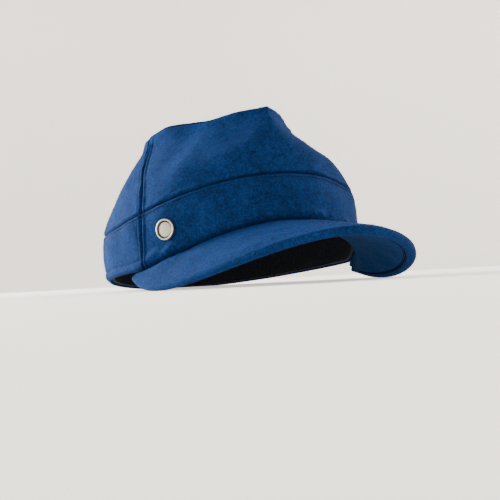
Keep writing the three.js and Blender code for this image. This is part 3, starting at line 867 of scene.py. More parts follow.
@dataclass
class Crown:
    """The cap's felt body: front panel, two side panels and the band in two pieces."""

    form: CrownForm
    placing: Placing
    fine: float = 0.45
    coarse: float = 1.3
    soft: Unevenness = Unevenness(seed=7, wavelength=26.0, height=0.3)
    pucker: Unevenness = Unevenness(seed=11, wavelength=8.0, height=0.3)
    nap: Unevenness = Unevenness(seed=23, wavelength=3.4, height=0.05)
    button_hole: float = 2.1
    crest_fade: float = 9.0
    crest_ridge: float = 0.25
    brim_clearance: float = 0.35
    bite: float = 0.25
    settle_height: float = 4.5
    settle_turn: float = 2.5
    hem_row_from: float = 70.0
    thread_lift: float = 0.08
    shortest_run: int = 20
    trees: dict[str, KDTree] = field(default_factory=dict)

    def seam_line(self, name: str) -> tuple[Array, Array]:
        """The angles and section indices of a named seam, about 0.2 mm apart.

        Args:
            name: "right", "left", "band", "crest", "middle" or "hem".

        Returns:
            Angles and section indices.
        """
        level = np.linspace(0, CREST, 560)
        ring = np.linspace(-math.pi, math.pi, 2900)
        crest = np.linspace(-1, 1, 800) * self.form.side_seam(np.array([float(CREST)]))[0]
        over = np.concatenate([np.linspace(CREST, APEX, 300), np.linspace(APEX, BAND_TOP, 700)])
        lines = {
            "right": (-self.form.side_seam(level), level),
            "left": (self.form.side_seam(level), level),
            "band": (ring, np.full_like(ring, BAND_TOP)),
            "crest": (crest, np.full_like(crest, CREST)),
            "middle": (np.concatenate([np.zeros(300), np.full(700, math.pi)]), over),
            "hem": (ring, np.zeros_like(ring)),
        }
        return lines[name]

    def distance(self, name: str, points: Array) -> Array:
        """How far points are from a named seam."""
        if name not in self.trees:
            line = self.form.face(*self.seam_line(name))
            tree = KDTree(len(line))
            for i, point in enumerate(line):
                tree.insert(point, i)
            tree.balance()
            self.trees[name] = tree
        find = self.trees[name].find
        flat = points.reshape(-1, 3)
        return np.fromiter((find(p)[2] for p in flat), float, len(flat)).reshape(points.shape[:-1])

    def felt(self, angle: Array, u: Array, seams: dict[str, SeamRelief]) -> Patch:
        """A patch of felt over the crown's form, with its sewn edges.

        Args:
            angle: The grid's angles.
            u: Its section indices.
            seams: The relief beside each named seam.

        Returns:
            The patch.
        """
        face, normal = self.form.face(angle, u), self.form.normal(angle, u)
        rise, painted_shade, ease = np.zeros(angle.shape), np.zeros(angle.shape), np.ones(angle.shape)
        uneven = 1 + self.pucker.at(face)
        # A seam's ridges thin out where three panels meet at the crest.
        fade = np.clip(self.distance("crest", face) / self.crest_fade, 0, 1) ** 2
        for name, relief in seams.items():
            away = self.distance(name, face)
            near, mark = relief.height(away), relief.painted_shade(away)
            if name in ("middle", "right", "left"):
                near, mark = near * (self.crest_ridge + (1 - self.crest_ridge) * fade), mark * fade
            rise += np.where(near > 0, near * uneven, near)
            # Each seam adds the painted shade of its groove and stitch channel.
            painted_shade += mark
            ease = np.minimum(ease, np.clip(away / 3, 0, 1))
        rise = np.maximum(rise, -1.5) + ease * (self.soft.at(face) + self.nap.at(face))
        return Patch(face + normal * rise[..., None], face - normal * self.form.wall, painted_shade, normal)

    def level_grid(self, low: float, high: float, angle: Array, rows: Array, open_low: bool = False) -> Array:
        """Section indices of a panel's rows, from just above one seam to just below the next.

        Args:
            low: The lower seam's section index.
            high: The upper seam's.
            angle: One angle for each column.
            rows: The rows' shares, from 0 to 1.
            open_low: True where the lower edge is no seam.

        Returns:
            A grid, one row for each share.
        """
        half = self.form.gap / 2
        first = low + (0 if open_low else half * self.form.index_per_mm(angle, low + 0.1))
        last = high - half * self.form.index_per_mm(angle, high - 0.1)
        return first + (last - first) * rows[:, None]

    def front_angles(self, u: Array, columns: Array) -> Array:
        """Angles across the front for a grid of section indices, from the right seam to the left one."""
        edge = self.form.side_seam(u)
        edge = edge - self.form.gap / 2 * self.form.angle_per_mm(edge, u)
        return edge * (2 * columns - 1)

    def back_angles(self, u: Array, columns: Array) -> Array:
        """Angles round the back, from the left seam to the right one."""
        edge = self.form.side_seam(u)
        edge = edge + self.form.gap / 2 * self.form.angle_per_mm(edge, u)
        return edge + (2 * math.pi - 2 * edge) * columns

    def front_panel(self) -> Patch:
        """The stiff panel over the brow, up to the point of the crown."""
        columns, rows = graded(190, self.fine, self.coarse), graded(66, self.fine, self.coarse)
        edge = self.form.side_seam(np.array([float(CREST)]))[0]
        u = self.level_grid(BAND_TOP, CREST, edge * (2 * columns - 1), rows)
        seams = {"right": TOPSTITCHED, "left": TOPSTITCHED, "band": PLAIN_SEAM, "crest": CREST_SEAM}
        return self.felt(self.front_angles(u, columns), u, seams)

    def front_band(self, button_at: Array) -> Patch:
        """The band over the brim, open where the button's post goes through."""
        columns, rows = graded(205, self.fine, self.coarse), graded(31, self.fine, self.coarse)
        edge = self.form.side_seam(np.array([1.0]))[0]
        u = self.level_grid(0, BAND_TOP, edge * (2 * columns - 1), rows, open_low=True)
        seams = {"right": TOPSTITCHED, "left": TOPSTITCHED, "band": TOPSTITCHED, "hem": BRIM_JOIN}
        patch = self.felt(self.front_angles(u, columns), u, seams)
        self.settle_on_brim(patch, self.front_angles(u, columns), u)
        middle = (patch.outer[:-1, :-1] + patch.outer[1:, 1:]) / 2
        hole = np.linalg.norm(middle - button_at, axis=-1) < self.button_hole
        return Patch(patch.outer, patch.inner, patch.painted_shade, patch.normal, hole)

    def settle_on_brim(self, patch: Patch, angle: Array, u: Array) -> None:
        """Brings a band's lower edge down onto the brim, so that no light passes between them.

        Args:
            patch: The band's patch, changed in place.
            angle: Its angles.
            u: Its section indices.
        """
        first = angle[0]
        level = np.zeros_like(first)
        ends = (self.form.face(first, level), self.form.at_depth(first, level, self.form.wall))
        seat = np.minimum(ends[0][:, 2], ends[1][:, 2]) - self.brim_clearance - self.bite
        turned = np.abs((first + math.pi) % (2 * math.pi) - math.pi)
        over_brim = np.clip((self.form.arch_end - np.degrees(turned)) / self.settle_turn, 0, 1)
        height = u / self.form.index_per_mm(angle, np.maximum(u, 0.05))
        near = np.clip(1 - height / self.settle_height, 0, 1) ** 2
        for points in (patch.outer, patch.inner):
            points[..., 2] -= near * over_brim * (points[0, :, 2] - seat)

    def back_band(self) -> Patch:
        """The band from seam to seam round the back, flattened where it bears on the floor."""
        columns, rows = graded(385, self.fine, self.coarse), graded(31, self.fine, self.coarse)
        edge = self.form.side_seam(np.array([1.0]))[0]
        u = self.level_grid(0, BAND_TOP, edge + (2 * math.pi - 2 * edge) * columns, rows, open_low=True)
        seams = {"right": TOPSTITCHED, "left": TOPSTITCHED, "band": TOPSTITCHED, "hem": HEM_EDGE}
        patch = self.felt(self.back_angles(u, columns), u, seams)
        self.settle_on_brim(patch, self.back_angles(u, columns), u)
        for points in (patch.outer, patch.inner):
            below = np.minimum(self.placing.placed(points)[..., 2], 0) / MM
            points[..., 2] -= below
        return patch

    def side_panel(self, side: Side) -> list[Patch]:
        """One side panel: its wall behind the side seam, and its half of the top.

        Args:
            side: The cap's side.

        Returns:
            The wall's patch and the top's.
        """
        half = self.form.gap / 2
        wall_columns = graded(185, self.fine, self.coarse)
        wall_rows = graded(66, self.fine, self.coarse, ends="first")
        crest = self.form.side_seam(np.array([float(CREST)]))[0]
        start = crest + half * float(self.form.angle_per_mm(crest, float(CREST)))
        at_crest = start + (math.pi - start) * wall_columns
        crest_level = CREST + half * self.form.index_per_mm(at_crest, float(CREST))
        first = BAND_TOP + half * self.form.index_per_mm(at_crest, BAND_TOP + 0.1)
        u = first + (crest_level - first) * wall_rows[:, None]
        edge = self.form.side_seam(np.minimum(u, CREST))
        edge = edge + half * self.form.angle_per_mm(edge, np.minimum(u, CREST))
        seams = {"left": TOPSTITCHED, "band": PLAIN_SEAM, "middle": TOPSTITCHED, "crest": CREST_SEAM}
        wall_angle = edge + (math.pi - edge) * wall_columns
        wall_angle[-1] = at_crest
        wall = self.felt(wall_angle, u, seams)
        front = np.linspace(0, crest - half * float(self.form.angle_per_mm(crest, 5.9)), 90)
        angles = np.concatenate([front, at_crest])
        level = CREST + half * self.form.index_per_mm(angles, float(CREST))
        rows = graded(50, self.fine, self.coarse, ends="first")
        top_u = level + (APEX - level) * rows[:, None]
        top = self.felt(np.broadcast_to(angles, top_u.shape), top_u, seams)
        for patch in (wall, top):
            for points in (patch.outer, patch.inner):
                points[..., 0] = np.maximum(points[..., 0], half)
        top.outer[0, len(front) :] = wall.outer[-1]
        top.inner[0, len(front) :] = wall.inner[-1]
        return [wall, top] if side is Side.LEFT else [wall.mirrored(), top.mirrored()]

    def row_beside(
        self, name: str, offset: float, trim: float, relief: SeamRelief = TOPSTITCHED
    ) -> list[Thread]:
        """A row of stitches beside a named seam, in runs between the side seams.

        Args:
            name: The seam.
            offset: The distance from it, in its own sideways direction.
            trim: The length left free beside another seam.
            relief: The felt's relief beside the seam.

        Returns:
            The runs, in the cap's millimetres.
        """
        angle, u = self.seam_line(name)
        upright = name in ("right", "left")
        if upright:
            angle = angle + offset * self.form.angle_per_mm(angle, u)
        else:
            u = u + offset * self.form.index_per_mm(angle, np.maximum(u - 0.2, 0.05))
        points, normals = self.form.face(angle, u), self.form.normal(angle, u)
        height = relief.height(abs(offset)) + self.soft.at(points) + self.nap.at(points) + self.thread_lift
        crossing = ("band", "crest", "hem") if upright else ("right", "left")
        clear = np.min([self.distance(other, points) for other in crossing], axis=0) > trim
        if name == "hem":
            clear &= np.abs(angle) > math.radians(self.hem_row_from)
        return self.runs(points + normals * height[:, None], normals, clear)

    def runs(self, points: Array, normals: Array, keep: Array) -> list[Thread]:
        """Splits a line into the runs that are kept."""
        starts = np.flatnonzero(np.diff(np.r_[False, keep, False].astype(int)) == 1)
        stops = np.flatnonzero(np.diff(np.r_[False, keep, False].astype(int)) == -1)
        return [Thread(points[a:b], normals[a:b]) for a, b in zip(starts, stops) if b - a > self.shortest_run]

    def rows_beside_middle(self, panel: Sequence[Patch], offset: float) -> list[Thread]:
        """The rows of stitches on both sides of the seam along the middle of the top and down the back.

        Args:
            panel: The left side panel's wall and top.
            offset: The distance from the seam.

        Returns:
            One row on each side panel.
        """
        wall, top = panel
        half = top.outer.shape[1] // 2
        tracks = [
            (top.outer[1:, :half], top.normal[1:, :half]),
            (top.outer[::-1, ::-1][:, :half], top.normal[::-1, ::-1][:, :half]),
            (wall.outer[::-1, ::-1][:, :half], wall.normal[::-1, ::-1][:, :half]),
        ]
        points, normals = [], []
        for outer, normal in tracks:
            for row, across in zip(outer, normal):
                beyond = np.flatnonzero(row[:, 0] > offset)
                if len(beyond) and beyond[0] > 0:
                    k = beyond[0]
                    t = (offset - row[k - 1, 0]) / (row[k, 0] - row[k - 1, 0])
                    points.append(row[k - 1] * (1 - t) + row[k] * t)
                    normals.append(across[k])
        line, normal = np.array(points), np.array(normals)
        line = line + normal * self.thread_lift
        from_crest, from_band = 5.0, 4.0
        clear = (self.distance("crest", line) > from_crest) & (self.distance("band", line) > from_band)
        flip = np.array([-1.0, 1.0, 1.0])
        return self.runs(line, normal, clear) + self.runs(line * flip, normal * flip, clear)


@dataclass
class Brim:
    """The peaked brim: a felt top whose edge is rolled under, and a felt underside sewn inside the roll."""

    form: CrownForm
    placing: Placing
    depth: float = 68.0
    corner_out: float = 1.5
    corner_down: float = 4.5
    side_droop: float = 25.0
    front_fall: float = 17.2
    thickness: float = 5.0
    top_layer: float = 2.1
    rolled_edge: float = 6.5
    bow: float = 0.8
    underside_start: float = 0.016
    blunt: float = 0.006
    row_inset: float = 1.9
    row_lift: float = 0.15
    clearance: float = 0.35
    pulls: tuple[tuple[float, float, float], ...] = ((1.005, 0.276, 1.0), (0.929, 0.768, 0.508))
    flat_share: float = 0.476
    stations: int = 300
    soft: Unevenness = Unevenness(seed=31, wavelength=30.0, height=0.22)
    nap: Unevenness = Unevenness(seed=37, wavelength=3.4, height=0.05)

    def edge(self, share: Array) -> Array:
        """Points of the brim's outer edge, from the right corner at 0 to the left one at 1."""
        hem_corner = self.form.face(math.radians(self.form.arch_end), 0.0)
        corner = hem_corner + np.array([self.corner_out, 0, -self.corner_down])
        front_y = -self.form.front_reach - self.depth
        front_z = self.form.arch_rise - self.front_fall
        forward = front_y - corner[1]
        pulled = [
            (across * self.form.half_width, corner[1] + forward * along, -droop * self.side_droop)
            for across, along, droop in self.pulls
        ]
        flat = (self.flat_share * self.form.half_width, front_y, front_z)
        half = np.array([corner, *pulled, flat, (0, front_y, front_z)])
        t = 1 - np.abs(2 * np.asarray(share, float) - 1)
        weights = np.stack([w * (1 - t) ** (4 - k) * t**k for k, w in enumerate((1, 4, 6, 4, 1))], -1)
        points = weights @ half
        points[..., 0] *= np.where(np.asarray(share) < 0.5, -1, 1)
        return points

    def seat(self, share: Array) -> Array:
        """Points under the hem that the brim is sewn to, in the middle of its thickness."""
        end = math.radians(self.form.arch_end)
        angle = -end + 2 * end * np.asarray(share, float)
        inner = self.form.at_depth(angle, np.zeros_like(angle), self.form.wall)
        outer = self.form.face(angle, np.zeros_like(angle))
        inner[..., 2] = np.minimum(inner[..., 2], outer[..., 2]) - self.clearance - self.thickness / 2
        return inner

    def face(self, share: Array, out: Array) -> Array:
        """The brim's middle surface, out from its seat at 0 to its edge at 1."""
        share, out = np.broadcast_arrays(np.asarray(share, float), np.asarray(out, float))
        points = self.seat(share) * (1 - out)[..., None] + self.edge(share) * out[..., None]
        points[..., 2] += self.bow * np.sin(math.pi * out) * np.sin(math.pi * share)
        return points

    def normal(self, share: Array, out: Array) -> Array:
        """The brim's upward normals, upright over its seat."""
        share, out = np.broadcast_arrays(np.asarray(share, float), np.asarray(out, float))
        s, o = np.clip(share, 0.02, 0.98), np.clip(out, 0.05, 0.95)
        along = self.face(s + 0.02, o) - self.face(s - 0.02, o)
        outward = self.face(s, o + 0.05) - self.face(s, o - 0.05)
        normal = np.cross(outward, along)
        normal /= np.linalg.norm(normal, axis=-1, keepdims=True)
        upright = (np.clip(1 - out, 0, 1) ** 4)[..., None]
        normal = normal * (1 - upright) + np.array([0, 0, 1.0]) * upright
        return normal / np.linalg.norm(normal, axis=-1, keepdims=True)

    def top_outline(self) -> tuple[Array, Array, Array, Array]:
        """The top layer's outline, from its seat over the edge and back inside.

        Returns:
            For each point: the share of the way between the edge strip and the seat, the millimetres in from
                the edge, the height, and how much shade is painted on the felt.
        """
        half, under = self.thickness / 2, self.thickness / 2 - self.top_layer
        top = 1 - graded(60, 0.6, 1.2, ends="last")
        turn = np.radians(np.linspace(80, -80, 15))
        strip = np.linspace(0, 1, 9)
        swell = 0.35 * np.sin(math.pi * strip)
        inside = np.linspace(0, 1, 24)
        start = self.rolled_edge - 0.7
        share = np.concatenate([top, np.zeros(15 + 9 + 1), inside])
        inset = np.concatenate(
            [
                np.full(len(top), half),
                half - half * np.cos(turn),
                half + (start - half) * strip,
                [self.rolled_edge],
                np.full(len(inside), self.rolled_edge),
            ]
        )
        lip = np.concatenate([-half - swell, [-half + 1.3]])
        heights = [np.full(len(top), half), half * np.sin(turn), lip, np.full(len(inside), under)]
        height = np.concatenate(heights)
        painted_shade = np.zeros(len(share))
        # Painted shade in the groove where the lip tucks under against the underside.
        painted_shade[len(top) + 15 + 7 : len(top) + 15 + 10] = (0.5, 0.9, 1.0)
        return share, inset, height, painted_shade

    def underside_outline(self) -> tuple[Array, Array, Array, Array]:
        """The underside's outline, from its seat inside the roll and back along its lower face.

        Returns:
            The same four values for each point as the top layer's.
        """
        half, roll = self.thickness / 2, self.rolled_edge + self.form.gap
        upper = half - self.top_layer - self.clearance
        inside, face = np.linspace(1, 0, 24), graded(54, 0.5, 1.2, ends="first")
        turn = np.radians(np.linspace(0, 90, 7))
        corner = 1.3
        share = np.concatenate([inside, np.zeros(7), face])
        rounded = roll + corner * (1 - np.cos(turn))
        inset = np.concatenate([np.full(24, roll), rounded, np.full(len(face), roll + corner)])
        puff = 0.3 + 0.25 * np.sin(math.pi * np.clip(face, 0, 1) ** 0.6)
        puff *= np.clip(face / 0.05, 0, 1)
        height = np.concatenate([np.full(24, upper), -half + corner * (1 - np.sin(turn)), -half - puff])
        # Painted shade inside the roll, round its inner corner, and fading out beside the groove on the lower
        # face.
        painted_shade = np.concatenate([np.full(24, 0.3), np.linspace(1, 0.4, 7), 0.4 * np.exp(-face * 54 / 1.5)])
        return share, inset, height, painted_shade

    def swept(
        self, name: str, outline: tuple[Array, Array, Array, Array], stations: Array, anchor: float = 0.0
    ) -> bpy.types.Object:
        """Sweeps an outline along the brim into a closed mesh with rounded ends.

        Args:
            name: The object's name.
            outline: What top_outline or underside_outline gives.
            stations: Shares along the brim.
            anchor: The height that the outline thins towards at the two ends.

        Returns:
            The mesh object.
        """
        share, inset, height, painted_shade = outline
        width = np.linalg.norm(self.face(stations, 0.0) - self.face(stations, 1.0), axis=-1)[:, None]
        squeeze = np.minimum(1, width * 0.6 / self.rolled_edge)
        inward = inset * np.where(inset > self.thickness / 2, squeeze, 1)
        distance = inward + (width - inward) * share
        out = 1 - distance / width
        along = np.broadcast_to(stations[:, None], out.shape)
        middle, normal = self.face(along, out), self.normal(along, out)
        run = np.concatenate([[0], np.cumsum(np.linalg.norm(np.diff(self.edge(stations), axis=0), axis=1))])
        from_end = np.clip(np.minimum(run, run[-1] - run) / (self.thickness / 2), self.blunt, 1)
        rounded = np.sqrt(1 - (1 - from_end) ** 2)[:, None]
        height = anchor + (height - anchor) * rounded
        points = middle + normal * height[..., None]
        shown = np.abs(height) > self.thickness / 2 - 0.05
        sway = (self.soft.at(points) + self.nap.at(points)) * shown * np.clip(share * width / 6, 0, 1)
        points = points + normal * sway[..., None]
        rings, size = points.shape[:2]
        ids = looped(np.arange(rings * size).reshape(rings, size))
        faces = [*quads_of(ids).tolist(), ids[0, :-1][::-1].tolist(), ids[-1, :-1].tolist()]
        obj = mesh_object(name, self.placing.placed(points.reshape(-1, 3)), faces)
        set_values(obj, "painted_shade", np.tile(painted_shade, rings))
        return obj

    def along(self) -> Array:
        """Stations along the brim, closer together round its two corners."""
        t = np.linspace(0, 1, self.stations)
        return t - 0.45 * np.sin(2 * math.pi * t) / (2 * math.pi)

    def groove_row(self) -> Thread:
        """The row of stitches that holds the underside inside the rolled edge."""
        stations = np.linspace(0.07, 0.93, 500)
        width = np.linalg.norm(self.face(stations, 0.0) - self.face(stations, 1.0), axis=-1)
        out = 1 - (self.rolled_edge + self.row_inset) / width
        normal = -self.normal(stations, out)
        return Thread(self.face(stations, out) + normal * (self.thickness / 2 + self.row_lift), normal)


@dataclass
class Sweatband:
    """The dark ribbed ribbon round the inside of the hem, with a bound lower edge."""

    form: CrownForm
    placing: Placing
    height: float = 25.0
    lift: float = 2.8
    thickness: float = 1.5
    looseness: float = 0.6
    rib_pitch: float = 1.7
    columns_per_rib: int = 4
    rows: int = 9

    def ring(self, share: Array, depth: float, columns: int) -> Array:
        """Rings of points round the inside of the hem.

        Args:
            share: Shares of the ribbon's height, one for each row.
            depth: The distance inside the crown's face.
            columns: How many points go round.

        Returns:
            The points, row by row.
        """
        angle = np.linspace(-math.pi, math.pi, columns, endpoint=False)
        u = (self.lift + share[:, None] * self.height) * self.form.index_per_mm(angle, 0.5)
        return self.form.at_depth(np.broadcast_to(angle, u.shape), u, depth)

    def ribbon(self) -> bpy.types.Object:
        """The ribbon as a closed loop, with the attributes that count its ribs."""
        path = self.ring(np.array([0.5]), self.form.wall, 720)[0]
        around = np.linalg.norm(np.diff(path, axis=0, append=path[:1]), axis=1).sum()
        ribs = round(around / self.rib_pitch)
        columns = ribs * self.columns_per_rib
        share = np.linspace(0, 1, self.rows)
        outer_depth = self.form.wall + self.looseness
        outer = self.ring(share, outer_depth, columns)
        inner = self.ring(share, outer_depth + self.thickness - 0.4, columns)
        loop = np.concatenate([outer, inner[::-1]])
        rows = len(loop)
        ids = looped(np.arange(rows * columns).reshape(rows, columns))
        ids = np.concatenate([ids, ids[:1]], axis=0)
        obj = mesh_object("ribbed_sweatband", self.placing.placed(loop.reshape(-1, 3)), quads_of(ids))
        count = np.tile(np.arange(columns) / self.columns_per_rib, rows)
        shown = np.repeat(np.r_[np.zeros(self.rows), 0, np.ones(self.rows - 2), 0], columns)
        set_values(obj, "ribs", count)
        set_values(obj, "ribbed", shown)
        return obj

    def bound_edge(self) -> Array:
        """The line along the ribbon's lower edge."""
        return self.ring(np.array([0.015]), self.form.wall + self.looseness + self.thickness / 2, 420)[0]


@dataclass
class Button:
    """The metal button on the front band: a plain domed face inside a raised rim, on a post."""

    form: CrownForm
    placing: Placing
    radius: float = 6.5
    rim_width: float = 1.1
    rim_height: float = 2.4
    face_height: float = 1.8
    dome: float = 0.3
    post_radius: float = 1.5
    post_length: float = 2.0
    angle: float = -52.2
    level: float = 0.79
    clearance: float = 0.35
    segments: int = 72

    def seat(self) -> tuple[Array, Array]:
        """The middle of the button's back and its axis, in the cap's frame."""
        angle, level = np.array(math.radians(self.angle)), np.array(self.level)
        normal = self.form.normal(angle, level)
        return self.form.face(angle, level) + normal * self.clearance, normal

    def profile(self) -> list[tuple[float, float]]:
        """The turned outline, from the end of the post to the middle of the face."""
        face = self.radius - self.rim_width
        top, low = self.rim_height, self.face_height
        bead = [
            (self.radius - 0.45 + 0.45 * math.cos(a), top - 0.45 + 0.45 * math.sin(a))
            for a in np.radians(np.linspace(0, 90, 7))
        ]
        lip = [
            (face + 0.3 - 0.3 * math.sin(a), top - 0.3 + 0.3 * math.cos(a))
            for a in np.radians(np.linspace(0, 90, 6))
        ]
        ring = [(0, 0.3), (0.12, 0.55), (0.6, 0.57), (0.8, 0.25)]
        dish = [(face - inward, low - depth) for inward, depth in ring]
        face_start = face - 0.95
        domed = [
            (face_start * (1 - t), low + self.dome * (1 - (1 - t) ** 2)) for t in np.linspace(0, 1, 14)
        ]
        return [
            (0, -self.post_length),
            (self.post_radius * 0.8, -self.post_length),
            (self.post_radius, -self.post_length + 0.3),
            (self.post_radius, 0),
            (self.radius * 0.9, 0),
            (self.radius * 0.97, 0.12),
            (self.radius, 0.5),
            *bead,
            *lip,
            *dish,
            *domed,
        ]

    def build(self) -> bpy.types.Object:
        """Turns the outline into a closed mesh, with a map of turns and radii."""
        profile = np.array(self.profile())
        centre, axis = self.seat()
        side = np.cross(axis, [0, 0, 1.0])
        side /= np.linalg.norm(side)
        up = np.cross(side, axis)
        turn = np.linspace(0, 2 * math.pi, self.segments, endpoint=False)
        ring = np.cos(turn)[:, None] * side + np.sin(turn)[:, None] * up
        body = profile[1:-1]
        points = centre + body[:, None, :1] * ring[None] + body[:, None, 1:] * axis
        ends = centre + profile[[0, -1], 1:] * axis
        rows = len(body)
        ids = looped(np.arange(rows * self.segments).reshape(rows, self.segments))
        quads = quads_of(ids.T)
        low, high = rows * self.segments, rows * self.segments + 1
        fans = [(low, ids[0, i], ids[0, i + 1]) for i in range(self.segments)]
        fans += [(high, ids[-1, i + 1], ids[-1, i]) for i in range(self.segments)]
        places = np.concatenate([points.reshape(-1, 3), ends])
        obj = mesh_object("nickel_button", self.placing.placed(places), [*quads.tolist(), *fans])
        sunk = (body[:, 1] > 0.6) & (body[:, 1] < self.face_height - 0.2) & (body[:, 0] < self.radius - 0.5)
        set_values(obj, "tarnish", np.r_[np.repeat(sunk, self.segments), False, False])
        radii = np.r_[np.repeat(body[:, 0], self.segments), 0, 0]
        turns = np.r_[np.tile(turn, rows), 0, 0]
        layer = obj.data.uv_layers.new(name="turned")
        corners = np.empty(len(obj.data.loops), dtype=np.int64)
        obj.data.loops.foreach_get("vertex_index", corners)
        across = np.cos(turns) * radii / self.radius * 0.2
        up_map = np.sin(turns) * radii / self.radius * 0.2
        flat = np.stack([across[corners], up_map[corners]], -1).ravel().astype(np.float32)
        layer.data.foreach_set("uv", flat)
        return obj


@dataclass
class Stitching:
    """The rows of stitches and the loose fibres that lie on the felt."""

    placing: Placing

    def path_object(self, name: str, rows: Sequence[Thread], closed: bool = False) -> bpy.types.Object:
        """Makes rows of points into a mesh of edges with their normals.

        Args:
            name: The object's name.
            rows: The rows, in the cap's millimetres.
            closed: True where each row meets itself.

        Returns:
            The object, ready for a tree that follows its edges.
        """
        points = self.placing.placed(np.concatenate([row.points for row in rows]))
        normals = self.placing.turned(np.concatenate([row.normals for row in rows]))
        edges, start = [], 0
        for row in rows:
            count = len(row.points)
            edges += [(start + i, start + i + 1) for i in range(count - 1)]
            if closed:
                edges.append((start + count - 1, start))
            start += count
        mesh = bpy.data.meshes.new(name)
        mesh.from_pydata(points.tolist(), edges, [])
        layer = mesh.attributes.new("surface_normal", "FLOAT_VECTOR", "POINT")
        layer.data.foreach_set("vector", normals.astype(np.float32).ravel())
        obj = bpy.data.objects.new(name, mesh)
        bpy.context.scene.collection.objects.link(obj)
        return obj

    def skin_object(self, name: str, patches: Sequence[Patch]) -> bpy.types.Object:
        """Makes the outer faces of some patches into one open skin for the fibres."""
        points, faces, start = [], [], 0
        for patch in patches:
            rows, columns = patch.painted_shade.shape
            ids = np.arange(rows * columns).reshape(rows, columns) + start
            points.append(patch.outer.reshape(-1, 3))
            faces.append(triangles_of(ids, patch.open_quads))
            start += rows * columns
        return mesh_object(name, self.placing.placed(np.concatenate(points)), np.concatenate(faces))

    @staticmethod
    def skin_of(name: str, piece: bpy.types.Object) -> bpy.types.Object:
        """Copies a finished piece's mesh as a skin for the fibres."""
        skin = bpy.data.objects.new(name, piece.data.copy())
        bpy.context.scene.collection.objects.link(skin)
        return skin


@dataclass(frozen=True)
class SoftLight:
    """A soft box: its place from the cap's middle, as the camera sees it, and its strength.

    right, near and up are in metres: towards the picture's right, towards the camera and up.
    """

    name: str
    right: float
    near: float
    up: float
    size: float
    watts: float
    colour: str


